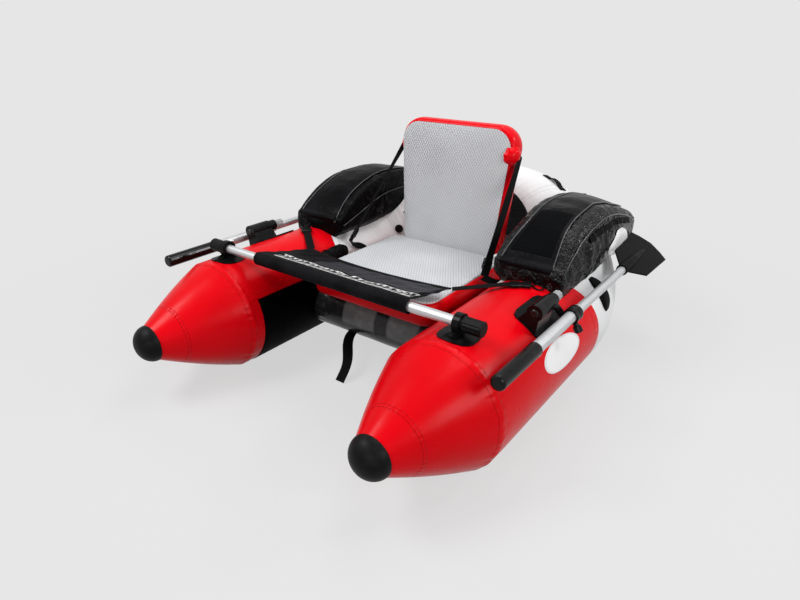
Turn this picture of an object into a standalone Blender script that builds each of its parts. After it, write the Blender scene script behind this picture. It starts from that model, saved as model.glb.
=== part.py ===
"""Float tube for one angler: two pontoons that join round an upswept stern, a panel seat with a
folding back, a crossbar with an apron, oars on tilting and swinging oarlocks, and two saddle bags.

Z is up and the floor is Z = 0. The crossbar lies along X, and the bows point along -Y. Lengths
along Y are counted from the crossbar, and one empty carries them to the middle of the hull.
"""
import math

import bmesh
import bpy
import numpy as np

# Clearances and overruns
GAP = 0.0003
BORE_FIT = 0.0005
BEND_SEAT = 0.0009
CUT_OVERRUN = 0.004
MERGE = 0.000001

# How round the turned pieces and corners are, and the columns of the patches that follow the hull
ROUND_SIDES = 20
BAR_SIDES = 24
PIN_SIDES = 16
CORNER_STEPS = 5
SMOOTH_DEGREES = 35.0
PATCH_COLUMN_SHARES = (-0.985, -0.88, -0.66, -0.34, 0.0, 0.34, 0.66, 0.88, 0.985)
PATCH_EDGE_SHARE = 0.95
PATCH_SPACING_SHARE = 0.09

# Hull tubes
TUBE_R = 0.1655
TUBE_HALF_SPACING = 0.397
TUBE_SIDES = 32
CONE_REAR_Y = -0.065
CONE_FRONT_Y = -0.295
CONE_TIP_R = 0.049
CONE_STEPS = 6
CONE_BULGE_SHARE = 0.04
NOSE_TOE_IN = 0.009
NOSE_RISE = 0.008
COLOUR_SPLIT_Y = 0.405
COLOUR_SPLIT_SHARE = 0.577
PANEL_REAR_Y = 0.475
BEND_START_Y = 0.532
BEND_LENGTH = 0.4185
STERN_RISE = 0.168
BEND_STEPS = 24
FACET = 2.0 * math.pi / TUBE_SIDES
TUBE_FLAT_R = TUBE_R * math.cos(FACET / 2.0)
TUBE_Z = TUBE_FLAT_R
TUBE_TOP_Z = TUBE_Z + TUBE_FLAT_R
TUBE_INNER_X = TUBE_HALF_SPACING - TUBE_R

# Nose caps
CAP_LENGTH = 0.043
CAP_PROUD = 0.0025
CAP_WALL = 0.005
PLUG_LENGTH = 0.017
CAP_DOME_STEPS = 4

# Black inner panels
PANEL_SKIN = 0.0012
PANEL_FRONT_Y = -0.03
PANEL_TOP_STEPS = 5
PANEL_COLUMNS = 9

# Cross beams under the seat
BEAM_R = 0.072
BEAM_SIDES = 28
FRONT_BEAM_Y = 0.2445
REAR_BEAM_Y = 0.488

# Seat panel and its pad
SEAT_SIDE_GAP = 0.0055
SEAT_HALF_WIDTH = TUBE_INNER_X - SEAT_SIDE_GAP
SEAT_FRONT_Y = 0.15
SEAT_REAR_Y = 0.60
SEAT_RISE = 0.0503
SEAT_BOTTOM_Z = TUBE_Z + SEAT_RISE
SEAT_THICKNESS = 0.065
SEAT_TOP_Z = SEAT_BOTTOM_Z + SEAT_THICKNESS
SEAT_CORNER_R = 0.05
SEAT_WALL_BULGE = 0.006
WALL_STEPS = 4
PAD_THICKNESS = 0.006
PAD_INSET = 0.012
PAD_CROWN = 0.003

# Seat back
BACK_BOTTOM_HALF_WIDTH = 0.182
BACK_TOP_HALF_WIDTH = 0.209
BACK_HEIGHT = 0.403
BACK_THICKNESS = 0.068
BACK_LEAN = math.radians(5.06)
BACK_INSET = 0.031
BACK_FACE_Y = SEAT_REAR_Y - BACK_INSET
BACK_TOP_CORNER_R = 0.07
BACK_BOTTOM_CORNER_R = 0.02
HINGE_AHEAD = 0.004
HINGE_RISE = 0.012
ANCHOR_PATCH_R = 0.024
ANCHOR_PATCH_THICKNESS = 0.004
ANCHOR_HEIGHT = 0.318

# Webbing
WEBBING_WIDTH = 0.025
WEBBING_THICKNESS = 0.0016
STRAP_STATIONS = 7

# Seat back straps and their tabs on the pontoons
STRAP_FOOT_OFFSET = 0.0305
STRAP_FOOT_X = TUBE_INNER_X + STRAP_FOOT_OFFSET
STRAP_FOOT_Y = 0.395
STRAP_FOOT_DROP = 0.0244
STRAP_FOOT_Z = TUBE_TOP_Z - STRAP_FOOT_DROP
TAB_ANGLE = math.radians(-50.0)
TAB_Y = 0.44
TAB_LENGTH = 0.05
TAB_RISE = 0.008

# Crossbar
BAR_R = 0.0125
BAR_BORE_R = 0.0110
BAR_OVERHANG = 0.062
BAR_HALF_LENGTH = TUBE_HALF_SPACING + BAR_OVERHANG
BAR_RISE = 0.0276
BAR_Z = TUBE_TOP_Z + BAR_RISE
SLEEVE_R = 0.0165
SLEEVE_OVERLAP = 0.0345
SLEEVE_HALF_LENGTH = TUBE_INNER_X + SLEEVE_OVERLAP
BAR_CAP_LENGTH = 0.050
BAR_CAP_R = 0.0188
BAR_CAP_RIBS = 12
BAR_CAP_RIB = 0.0012
SADDLE_OFFSET = 0.006
SADDLE_X = TUBE_HALF_SPACING + SADDLE_OFFSET
SADDLE_WIDTH = 0.018
BAR_CAP_GAP = 0.0025
BAR_CAP_INNER_X = SADDLE_X + SADDLE_WIDTH / 2.0 + BAR_CAP_GAP
SADDLE_R = 0.0235
SADDLE_FOOT_HALF = 0.031
SADDLE_FOOT_HEIGHT = 0.008
SADDLE_PAD_HALF = 0.048
SADDLE_PAD_THICKNESS = 0.002
SADDLE_PAD_ROUNDNESS_SHARE = 2.6
SADDLE_NECK_SHARE = 0.98
SADDLE_ARC_POINTS = 17

# Apron behind the crossbar, with its corner straps
APRON_THICKNESS = 0.0015
APRON_REAR_OVERLAP = 0.0305
APRON_REAR_HALF_WIDTH = TUBE_INNER_X + APRON_REAR_OVERLAP
APRON_REAR_SHIFT = -0.024
APRON_REAR_Y = 0.203
APRON_CORNER_Y = 0.228
APRON_REAR_RISE = 0.030
APRON_REAR_Z = SEAT_TOP_Z + APRON_REAR_RISE
APRON_SAG = 0.006
APRON_FOLD = 0.0022
APRON_FALL_POWER_SHARE = 1.35
APRON_WAVE_COUNT = 3.0
APRON_COLUMNS = 20
APRON_ROWS = 8
APRON_HEM = 0.004
APRON_HEM_SHARE = 0.9
PATCH_ANGLE = math.radians(12.5)
PATCH_Y = 0.346
PATCH_R = 0.0265
PATCH_THICKNESS = 0.0012
RING_R = 0.014
RING_WIRE_R = 0.0022
RING_WIRE_SIDES = 6
RING_STEPS = 14
BUCKLE_LENGTH = 0.062
BUCKLE_WIDTH = 0.034
BUCKLE_THICKNESS = 0.009
BUCKLE_FLAT_SHARE = 0.8
BUCKLE_SHARES = (
    (0.0, 0.7, 0.5), (0.12, 1.0, 0.9), (0.42, 1.0, 1.0), (0.5, 0.78, 0.8),
    (0.6, 0.78, 0.8), (0.68, 0.96, 1.0), (0.9, 0.9, 0.8), (1.0, 0.6, 0.4),
)
STRAP_START = 0.002
STRAP_LIFT = 0.0016

# Oarlocks
PLATE_ANGLE = math.radians(33.0)
PLATE_Y = 0.2425
PLATE_HALF_WIDTH = 0.048
PLATE_HALF_LENGTH = 0.077
PLATE_THICKNESS = 0.004
PLATE_ROUNDNESS_SHARE = 5.0
DRUM_ANGLE = math.radians(31.2035)
DRUM_STAND = 0.04375
DRUM_X = TUBE_HALF_SPACING + (TUBE_FLAT_R + DRUM_STAND) * math.sin(DRUM_ANGLE)
DRUM_Z = TUBE_Z + (TUBE_FLAT_R + DRUM_STAND) * math.cos(DRUM_ANGLE)
DRUM_R = 0.0205
DRUM_FRONT_Y = 0.168
DRUM_REAR_Y = 0.245
DRUM_FOOT_HALF_ANGLE = math.radians(9.5)
DRUM_SHOULDER = math.radians(28.0)
DRUM_ARC_POINTS = 18
BOLT_R = 0.006
BOLT_FIT = 0.0003
BOLT_HEAD_SHARE = 0.8
HUB_R = 0.0175
HUB_LENGTH = 0.026
KNOB_R = 0.0128
KNOB_LENGTH = 0.034
KNOB_RIBS = 9
KNOB_RIB = 0.0012

# Oars
OAR_OUT = 0.0525
OAR_DROP = 0.031
OAR_X = DRUM_X + OAR_OUT
OAR_Z = DRUM_Z - OAR_DROP
SWING_TILT = math.radians(68.0)
COLLAR_Y = 0.281
COLLAR_LENGTH = 0.036
COLLAR_R = 0.0205
COLLAR_FIT = 0.0004
COLLAR_RIM_SHARE = 0.3333
COLLAR_GROOVE_SHARE = 0.2
BOSS_R = 0.010
BOSS_REACH = 0.0245
PIN_R = 0.0045
ARM_THICKNESS = 0.006
ARM_END_R = 0.013
ARM_END_POINTS = 9
ARM_FOOT_SHARE = 0.9
SCREW_R = 0.0105
SCREW_LENGTH = 0.017
SCREW_STEM_R = 0.0065
SCREW_STEM_LENGTH = 0.007
SCREW_TILT = math.radians(147.0)
SCREW_RIBS = 8
SCREW_RIB = 0.001
GRIP_R = 0.018
GRIP_FRONT_Y = -0.108
GRIP_REAR_Y = 0.066
GRIP_END_R = 0.006
GRIP_END_POINTS = 5
SHAFT_FRONT_R = 0.015
SHAFT_REAR_R = 0.012
SHAFT_STEP_Y = 0.318
SHAFT_REAR_Y = 0.700
FERRULE_FRONT_Y = 0.645
FERRULE_REAR_Y = 0.862
FERRULE_R = 0.0165
FERRULE_TIP_R = 0.004
FERRULE_RIB = 0.0008
FERRULE_RIBS = 3
FERRULE_RIB_SHARE = 0.08
FERRULE_SHARES = ((0.5, 0.92), (0.8, 0.6))
BLADE_TILT = math.radians(-30.0)
BLADE_THICKNESS = 0.005
BLADE_THROAT_Y = 0.658
BLADE_THROAT_HALF = 0.013
BLADE_SHOULDER_Y = 0.725
BLADE_SHOULDER_HALF = 0.062
BLADE_SIDE_Y = 0.907
BLADE_HALF = 0.069
BLADE_CHAMFER_Y = 0.923
BLADE_CHAMFER_HALF = 0.042
BLADE_TIP_Y = 0.936

# Oar keepers on the stern tube
KEEPER_Y = 0.566
KEEPER_TOP_ANGLE = math.radians(36.5)
KEEPER_TOE_ANGLE = math.radians(74.0)
KEEPER_WIDTH = 0.044
KEEPER_THICKNESS = 0.002
KEEPER_PAD_THICKNESS = 0.013

# Saddle bags
BAG_FRONT_Y = 0.373
BAG_REAR_Y = 0.945
BAG_INNER_OFFSET = 0.112
BAG_OUTER_CLEAR = 0.0715
BAG_SHOULDER_CLEAR = 0.0435
BAG_INNER_X = TUBE_HALF_SPACING - BAG_INNER_OFFSET
BAG_OUTER_X = OAR_X - BAG_OUTER_CLEAR
BAG_SHOULDER_X = OAR_X - BAG_SHOULDER_CLEAR
BAG_OVERHANG = 0.0374
BAG_UNDERSIDE_Z = TUBE_TOP_Z - BAG_OVERHANG
BAG_TUCK_WIDTH = 0.05
BAG_TUCK_HEIGHT = 0.042
BAG_FRONT_RISE = 0.0426
BAG_TOP_RISE = 0.1576
BAG_FRONT_Z = TUBE_TOP_Z + BAG_FRONT_RISE
BAG_TOP_Z = TUBE_TOP_Z + BAG_TOP_RISE
BAG_CORNER_R = 0.03
BAG_CORNER_STEPS = 4
BAG_ROUNDING_SHARE = 0.25
BAG_FRONT_R_SHARE = 0.4
BAG_END_SHARE = 0.1
BAG_TAIL_RISE = 0.02
BAG_LENGTH_SHARES = (0.0, 0.03, 0.08, 0.16, 0.25, 0.38, 0.50, 0.62, 0.75, 0.87, 1.0)
BAG_INNER_TOP_SHARES = (0.0, 0.18, 0.36, 0.58, 0.74, 0.91, 0.97, 0.94, 0.86, 0.75, 0.60)
BAG_OUTER_TOP_SHARES = (0.0, 0.18, 0.38, 0.65, 0.82, 0.93, 0.93, 0.84, 0.67, 0.48, 0.25)

# Air valves
VALVE_STEP_SHARE = 0.1458
VALVE_ANGLE_STEPS = -5
VALVE_FLANGE_R = 0.0155
VALVE_FLANGE_THICKNESS = 0.002
VALVE_CAP_R = 0.011
VALVE_CAP_HEIGHT = 0.008

# Cargo deck behind the seat back
DECK_THICKNESS = 0.0025
DECK_FRONT_Y = 0.675
DECK_ANGLE = math.radians(-42.0)
DECK_COLUMNS = 12
DECK_SEARCH_STEPS = 200

# Carry handle on the stern
HANDLE_BEND_SHARE = 0.375
HANDLE_ANGLE_STEPS = 1
HANDLE_LENGTH = 0.085
HANDLE_WIDTH = 0.024
HANDLE_RISE = 0.006
HANDLE_THICKNESS = 0.003
HANDLE_SEAT = 0.0001
HANDLE_SHARES = ((-1.0, 0.0), (-0.55, 0.0), (-0.3, 1.0), (0.3, 1.0), (0.55, 0.0), (1.0, 0.0))

# Webbing tail under the front beam
TAIL_X = -0.125
TAIL_TIP_X = -0.030
TAIL_WIDTH = 0.032
TAIL_TIP_Y = 0.062
TAIL_FLOOR_CLEAR = 0.003
TAIL_FALL_POWER_SHARE = 3.0
TAIL_POINTS = 13

RED = ((0.72, 0.004, 0.008), 0.32, 0.0)
GREY = ((0.78, 0.79, 0.80), 0.35, 0.0)
BLACK_PVC = ((0.012, 0.012, 0.013), 0.30, 0.0)
EVA = ((0.50, 0.52, 0.55), 0.75, 0.0)
NYLON = ((0.014, 0.015, 0.018), 0.60, 0.0)
WEBBING = ((0.010, 0.010, 0.011), 0.70, 0.0)
PLASTIC = ((0.012, 0.012, 0.013), 0.35, 0.0)
RUBBER = ((0.010, 0.010, 0.010), 0.65, 0.0)
ALUMINIUM = ((0.78, 0.79, 0.80), 0.28, 1.0)

CAP_TIP_Y = CONE_FRONT_Y - CAP_LENGTH
STERN_Y = BEND_START_Y + BEND_LENGTH + TUBE_R * math.cos(FACET / 2.0)
BAR_Y = -(CAP_TIP_Y + STERN_Y) / 2.0
PAD_TOP_Z = SEAT_TOP_Z + GAP + PAD_THICKNESS
SIDES = {"left": -1.0, "right": 1.0}


def clear_scene():
    for old in list(bpy.data.objects):
        bpy.data.objects.remove(old, do_unlink=True)


def finish(name, look):
    colour, roughness, metallic = look
    made = bpy.data.materials.new(name + "_finish")
    made.use_nodes = True
    shader = made.node_tree.nodes["Principled BSDF"]
    shader.inputs["Base Color"].default_value = (*colour, 1.0)
    shader.inputs["Roughness"].default_value = roughness
    shader.inputs["Metallic"].default_value = metallic
    made.diffuse_color = (*colour, 1.0)
    return made


def add_object(name, vertices, faces, look, origin=(0.0, 0.0, 0.0), smooth_angle=SMOOTH_DEGREES):
    """Make one object whose origin is a point of the hull, with its faces turned outwards."""
    origin = np.array(origin, dtype=float)
    mesh = bpy.data.meshes.new(name)
    mesh.from_pydata((np.array(vertices) - origin).tolist(), [], faces)
    shape = bmesh.new()
    shape.from_mesh(mesh)
    bmesh.ops.remove_doubles(shape, verts=shape.verts, dist=MERGE)
    bmesh.ops.dissolve_degenerate(shape, edges=shape.edges, dist=MERGE)
    bmesh.ops.recalc_face_normals(shape, faces=shape.faces)
    shape.to_mesh(mesh)
    shape.free()
    mesh.shade_smooth()
    mesh.set_sharp_from_angle(angle=math.radians(smooth_angle))
    mesh.materials.append(finish(name, look))
    made = bpy.data.objects.new(name, mesh)
    made.location = origin
    made.parent = bpy.data.objects["hull_frame"]
    bpy.context.scene.collection.objects.link(made)
    return made


def loft_faces(ring_count, points, closed):
    """Quads between neighbouring rings. A loft that isn't closed gets a face over each end."""
    faces = []
    spans = ring_count if closed else ring_count - 1
    for ring in range(spans):
        here = ring * points
        there = ((ring + 1) % ring_count) * points
        for k in range(points):
            following = (k + 1) % points
            faces.append((here + k, here + following, there + following, there + k))
    if not closed:
        faces.append(tuple(reversed(range(points))))
        faces.append(tuple((ring_count - 1) * points + k for k in range(points)))
    return faces


def loft(name, rings, look, closed=False, origin=(0.0, 0.0, 0.0), smooth_angle=SMOOTH_DEGREES):
    """One body through rings that all have the same number of points."""
    rings = [np.array(ring, dtype=float) for ring in rings]
    faces = loft_faces(len(rings), len(rings[0]), closed)
    return add_object(name, np.concatenate(rings), faces, look, origin, smooth_angle)


def cross_axes(axis):
    """Two unit directions square to an axis, the first as level as it can be."""
    axis = np.array(axis, dtype=float) / np.linalg.norm(axis)
    level = np.cross((0.0, 0.0, 1.0), axis)
    if np.linalg.norm(level) < 0.1:
        level = np.array((1.0, 0.0, 0.0))
    level = level / np.linalg.norm(level)
    return level, np.cross(axis, level)


def circle(centre, radius, u, v, sides, phase_share=0.0):
    """Points of a circle, or of a wavy one where radius is an array."""
    turn = (np.arange(sides) + phase_share) * 2.0 * math.pi / sides
    across = np.outer(np.cos(turn) * radius, u)
    up = np.outer(np.sin(turn) * radius, v)
    return np.array(centre) + across + up


def turned_rings(profile, start, axis, sides):
    """Rings of a turned body from (distance along the axis, radius) pairs."""
    axis = np.array(axis, dtype=float) / np.linalg.norm(axis)
    u, v = cross_axes(axis)
    return [circle(np.array(start) + along * axis, radius, u, v, sides) for along, radius in profile]


def ribbed_rings(profile, start, axis, ribs, rib):
    """Rings like turned_rings, with ribs that run along the axis and fade at the ends."""
    axis = np.array(axis, dtype=float) / np.linalg.norm(axis)
    u, v = cross_axes(axis)
    wave = np.tile((1.0, 0.0, 0.0), ribs)
    rings = []
    for along, radius, depth_share in profile:
        wavy = radius - rib * depth_share * wave
        rings.append(circle(np.array(start) + along * axis, wavy, u, v, 3 * ribs))
    return rings


def straight_ring(side, y, radius, x=TUBE_HALF_SPACING, z=TUBE_Z):
    """A ring of the hull square to Y, turned so that a flat side faces down."""
    return circle((side * x, y, z), radius, (side, 0.0, 0.0), (0.0, 0.0, 1.0), TUBE_SIDES, 0.5)


def split_ring(side, clearance):
    """The slanting seam where red meets grey: it runs further aft on the outer side."""
    ring = straight_ring(side, COLOUR_SPLIT_Y + clearance, TUBE_R)
    ring[:, 1] += COLOUR_SPLIT_SHARE * (side * ring[:, 0] - TUBE_HALF_SPACING)
    return ring


def bend_frame(turn):
    """Centre, outward and upward directions of the stern bend, from 0 at right to pi at left."""
    centre = np.array((
        TUBE_HALF_SPACING * math.cos(turn),
        BEND_START_Y + BEND_LENGTH * math.sin(turn),
        TUBE_Z + STERN_RISE * math.sin(turn) ** 2,
    ))
    along = np.array((
        -TUBE_HALF_SPACING * math.sin(turn),
        BEND_LENGTH * math.cos(turn),
        2.0 * STERN_RISE * math.sin(turn) * math.cos(turn),
    ))
    along = along / np.linalg.norm(along)
    outward = np.array((along[1], -along[0], 0.0))
    outward = outward / np.linalg.norm(outward)
    return centre, outward, np.cross(outward, along)


def bend_ring(turn, radius):
    centre, outward, upward = bend_frame(turn)
    return circle(centre, radius, outward, upward, TUBE_SIDES, 0.5)


def hull_rings(lift):
    """Rings of the whole hull behind the cones, with its sides moved outwards by lift."""
    radius = TUBE_R + lift / math.cos(FACET / 2.0)
    rings = [straight_ring(1.0, CONE_REAR_Y, radius)]
    for step in range(BEND_STEPS + 1):
        rings.append(bend_ring(math.pi * step / BEND_STEPS, radius))
    rings.append(straight_ring(-1.0, CONE_REAR_Y, radius))
    return rings


def skin_radius(angle, lift):
    """Distance from a hull tube's axis to its flat sides, moved outwards by lift."""
    off_middle = angle - round(angle / FACET) * FACET
    return (TUBE_FLAT_R + lift) / math.cos(off_middle)


def skin_point(side, y, angle, lift):
    """Point on the hull at an angle from straight up, positive outboard, at a place along Y."""
    radius = skin_radius(angle, lift)
    if y <= BEND_START_Y:
        return np.array((
            side * (TUBE_HALF_SPACING + radius * math.sin(angle)), y, TUBE_Z + radius * math.cos(angle)
        ))
    turn = math.asin(min(1.0, (y - BEND_START_Y) / BEND_LENGTH))
    centre, outward, upward = bend_frame(turn)
    point = centre + radius * (math.sin(angle) * outward + math.cos(angle) * upward)
    return point * np.array((side, 1.0, 1.0))


def facet_edges(low, high):
    """Angles of the hull's long edges between two angles from straight up."""
    first = math.ceil(low / FACET - 0.5)
    last = math.floor(high / FACET - 0.5)
    return [(step + 0.5) * FACET for step in range(first, last + 1)]


def patch_rings(side, angle, y, half_width, half_length, roundness, lift, thickness):
    """A patch that follows the hull: its outline is a superellipse, 2 for an oval, more for a pad."""
    half_angle = half_width / TUBE_R
    edges = [(edge - angle) / half_angle for edge in facet_edges(angle - half_angle, angle + half_angle)]
    edges = [share for share in edges if abs(share) < PATCH_EDGE_SHARE]
    spaced = [
        share for share in PATCH_COLUMN_SHARES
        if all(abs(share - edge) > PATCH_SPACING_SHARE for edge in edges)
    ]
    columns = sorted(edges + spaced)
    rings = []
    for share in columns:
        reach = half_length * (1.0 - abs(share) ** roundness) ** (1.0 / roundness)
        here = angle + share * half_angle
        rings.append([
            skin_point(side, y - reach, here, lift),
            skin_point(side, y + reach, here, lift),
            skin_point(side, y + reach, here, lift + thickness),
            skin_point(side, y - reach, here, lift + thickness),
        ])
    return rings


def rounded_outline(corners, radii, steps=CORNER_STEPS):
    """Closed outline in a plane whose corners are rounded by arcs of the given radii."""
    corners = [np.array(corner, dtype=float) for corner in corners]
    points = []
    for index, corner in enumerate(corners):
        back = corners[index - 1] - corner
        ahead = corners[(index + 1) % len(corners)] - corner
        back = back / np.linalg.norm(back)
        ahead = ahead / np.linalg.norm(ahead)
        half = math.acos(max(-1.0, min(1.0, float(np.dot(back, ahead))))) / 2.0
        radius = radii[index]
        middle = back + ahead
        centre = corner + middle / np.linalg.norm(middle) * radius / math.sin(half)
        start = corner + back * radius / math.tan(half) - centre
        end = corner + ahead * radius / math.tan(half) - centre
        sweep = math.pi - 2.0 * half
        for step in range(steps + 1):
            share = step / steps
            arc = (math.sin((1.0 - share) * sweep) * start + math.sin(share * sweep) * end)
            points.append(centre + arc / math.sin(sweep))
    return np.array(points)


def inset_outline(half_widths, ends, radii, inset, steps=CORNER_STEPS):
    """Trapezium with rounded corners, moved inwards: (low, high) half widths at (low, high) ends."""
    low_half, high_half = (half - inset for half in half_widths)
    low, high = ends[0] + inset, ends[1] - inset
    corners = [(-low_half, low), (low_half, low), (high_half, high), (-high_half, high)]
    low_r, high_r = (max(radius - inset, inset) for radius in radii)
    return rounded_outline(corners, [low_r, low_r, high_r, high_r], steps)


def bored_outline(arc, radius, foot, bore_r):
    """Outline of an arc that closes over a foot, and a round bore with as many points."""
    outline = [(radius * math.cos(turn), radius * math.sin(turn)) for turn in arc]
    outline += [tuple(point) for point in foot]
    under = np.linspace(arc[-1], arc[0] + math.copysign(2.0 * math.pi, arc[-1] - arc[0]), len(foot) + 2)
    turns = list(arc) + list(under[1:-1])
    return outline, [(bore_r * math.cos(turn), bore_r * math.sin(turn)) for turn in turns]


def webbing_rings(path, across, width, thickness):
    """A flat strap along a path. Across is its width direction, one for all or one for each point."""
    path = np.array(path, dtype=float)
    across = np.array(across, dtype=float)
    if across.ndim == 1:
        across = np.tile(across, (len(path), 1))
    across = across / np.linalg.norm(across, axis=1)[:, None]
    along = np.gradient(path, axis=0)
    normal = np.cross(along, across)
    normal = normal / np.linalg.norm(normal, axis=1)[:, None]
    side = across * width / 2.0
    face = normal * thickness / 2.0
    return [
        (point - s - f, point + s - f, point + s + f, point - s + f)
        for point, s, f in zip(path, side, face)
    ]


def combine(target, guide, operation):
    """Apply a body to target with a Boolean. It stays in the scene as a hidden wire guide."""
    guide.hide_render = True
    guide.display_type = "WIRE"
    guide.hide_set(True)
    change = target.modifiers.new(guide.name, "BOOLEAN")
    change.operation = operation
    change.object = guide


def cut_with(target, rings, name):
    combine(target, loft(name, rings, RUBBER), "DIFFERENCE")


def join_to(target, piece):
    combine(target, piece, "UNION")


def make_pontoon(label, side):
    """Red tube and bow cone, with the short plug that the nose cap sits on."""
    plug_r = CONE_TIP_R + CAP_PROUD - CAP_WALL
    nose_x = TUBE_HALF_SPACING - NOSE_TOE_IN
    nose_z = TUBE_Z + NOSE_RISE
    rings = [
        straight_ring(side, CONE_FRONT_Y - PLUG_LENGTH, plug_r, nose_x, nose_z),
        straight_ring(side, CONE_FRONT_Y, plug_r, nose_x, nose_z),
    ]
    for step in range(CONE_STEPS):
        share = step / CONE_STEPS
        bulge = CONE_BULGE_SHARE * math.sin(math.pi * share)
        radius = CONE_TIP_R + (TUBE_R - CONE_TIP_R) * (share + bulge)
        y = CONE_FRONT_Y + (CONE_REAR_Y - CONE_FRONT_Y) * share
        toe_in = NOSE_TOE_IN * (1.0 - share)
        rise = NOSE_RISE * (1.0 - share)
        rings.append(straight_ring(side, y, radius, TUBE_HALF_SPACING - toe_in, TUBE_Z + rise))
    rings.append(straight_ring(side, CONE_REAR_Y, TUBE_R))
    rings.append(split_ring(side, 0.0))
    loft("pontoon_" + label, rings, RED)


def make_stern_tube():
    """Grey tube that carries both pontoons round the stern and lifts it clear of the water."""
    rings = [split_ring(1.0, GAP)]
    rings += hull_rings(0.0)[1:-1]
    rings.append(split_ring(-1.0, GAP))
    loft("stern_tube", rings, GREY)


def make_nose_cap(label, side):
    """Moulded cup with a domed end, pushed over the pontoon's plug."""
    outer_r = CONE_TIP_R + CAP_PROUD
    bore_r = outer_r - CAP_WALL + GAP
    bore_depth = PLUG_LENGTH + GAP
    profile = [(bore_depth, 0.0), (bore_depth, bore_r), (GAP, bore_r), (GAP, outer_r)]
    for step in range(1, CAP_DOME_STEPS + 1):
        turn = math.pi / 2.0 * step / CAP_DOME_STEPS
        profile.append((GAP + (CAP_LENGTH - GAP) * math.sin(turn), outer_r * math.cos(turn)))
    start = (side * (TUBE_HALF_SPACING - NOSE_TOE_IN), CONE_FRONT_Y, TUBE_Z + NOSE_RISE)
    rings = [
        circle((start[0], start[1] - along, start[2]), radius, (side, 0.0, 0.0), (0.0, 0.0, 1.0),
               TUBE_SIDES, 0.5)
        for along, radius in profile
    ]
    loft("nose_cap_" + label, rings, RUBBER)


def make_inner_panel(label, side):
    """Black scuff panel on the pontoon's inner side, which the cross beams press against."""
    top = -(PANEL_TOP_STEPS + 0.5) * FACET
    angles = [top - step * FACET for step in range(PANEL_COLUMNS + 1)]
    rings = []
    for y in (PANEL_FRONT_Y, PANEL_REAR_Y):
        inner = [skin_point(side, y, angle, GAP) for angle in angles]
        outer = [skin_point(side, y, angle, GAP + PANEL_SKIN) for angle in reversed(angles)]
        rings.append(inner + outer)
    loft("inner_panel_" + label, rings, BLACK_PVC)


def make_beam(name, y):
    """Inflated cross beam, its ends hollowed to fit round both pontoons."""
    z = SEAT_BOTTOM_Z - GAP - BEAM_R
    rings = turned_rings(
        [(0.0, BEAM_R), (2.0 * TUBE_HALF_SPACING, BEAM_R)], (-TUBE_HALF_SPACING, y, z),
        (1.0, 0.0, 0.0), BEAM_SIDES,
    )
    beam = loft(name, rings, BLACK_PVC)
    cut_with(beam, hull_rings(GAP + PANEL_SKIN + GAP), name + "_cutter")


def make_seat():
    """Flat inflated panel whose walls bulge a little, and the embossed foam pad on it."""
    widths = (SEAT_HALF_WIDTH, SEAT_HALF_WIDTH)
    ends = (SEAT_FRONT_Y, SEAT_REAR_Y)
    radii = (SEAT_CORNER_R, SEAT_CORNER_R)
    rings = []
    for share in np.linspace(0.0, 1.0, WALL_STEPS + 1):
        inset = SEAT_WALL_BULGE * (2.0 * share - 1.0) ** 2
        flat = inset_outline(widths, ends, radii, inset)
        z = np.full(len(flat), SEAT_BOTTOM_Z + SEAT_THICKNESS * share)
        rings.append(np.column_stack((flat, z)))
    loft("seat_base", rings, RED)
    bottom = SEAT_TOP_Z + GAP
    rings = []
    for inset, rise in ((PAD_INSET, 0.0), (PAD_INSET, PAD_THICKNESS - PAD_CROWN),
                        (PAD_INSET + PAD_CROWN, PAD_THICKNESS)):
        flat = inset_outline(widths, ends, radii, inset)
        rings.append(np.column_stack((flat, np.full(len(flat), bottom + rise))))
    loft("seat_pad", rings, EVA)


def hinge_point():
    return np.array((0.0, BACK_FACE_Y - HINGE_AHEAD, PAD_TOP_Z + HINGE_RISE))


def back_point(across, height, depth):
    """Point of the leaning seat back: across it, up its face and behind its face."""
    foot = np.array((0.0, BACK_FACE_Y, PAD_TOP_Z + GAP))
    up = np.array((0.0, math.sin(BACK_LEAN), math.cos(BACK_LEAN)))
    behind = np.array((0.0, math.cos(BACK_LEAN), -math.sin(BACK_LEAN)))
    lift = (SEAT_REAR_Y - PAD_INSET - BACK_FACE_Y) * math.tan(BACK_LEAN)
    return foot + np.array((across, 0.0, lift)) + height * up + depth * behind


def make_back():
    """Leaning panel that folds forward onto the seat, with its pad and side patches."""
    widths = (BACK_BOTTOM_HALF_WIDTH, BACK_TOP_HALF_WIDTH)
    ends = (0.0, BACK_HEIGHT)
    radii = (BACK_BOTTOM_CORNER_R, BACK_TOP_CORNER_R)
    wall_depth = BACK_THICKNESS - PAD_THICKNESS - GAP
    rings = []
    for share in np.linspace(0.0, 1.0, WALL_STEPS + 1):
        inset = SEAT_WALL_BULGE * (2.0 * share - 1.0) ** 2
        flat = inset_outline(widths, ends, radii, inset)
        depth = PAD_THICKNESS + GAP + wall_depth * share
        rings.append([back_point(across, height, depth) for across, height in flat])
    back = loft("backrest", rings, RED, origin=hinge_point())
    weld_back_patches(back)
    rings = []
    for inset, depth in ((PAD_INSET, PAD_THICKNESS), (PAD_INSET, PAD_CROWN),
                         (PAD_INSET + PAD_CROWN, 0.0)):
        flat = inset_outline(widths, ends, radii, inset)
        rings.append([back_point(across, height, depth) for across, height in flat])
    loft("backrest_pad", rings, EVA, origin=hinge_point())


def back_half_width(height):
    share = height / BACK_HEIGHT
    return BACK_BOTTOM_HALF_WIDTH + (BACK_TOP_HALF_WIDTH - BACK_BOTTOM_HALF_WIDTH) * share


def back_anchor(side, proud):
    """Centre of a side patch, moved outwards from the seat back's side wall."""
    depth = PAD_THICKNESS + GAP + (BACK_THICKNESS - PAD_THICKNESS) / 2.0
    return back_point(side * (back_half_width(ANCHOR_HEIGHT) + proud), ANCHOR_HEIGHT, depth)


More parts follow.
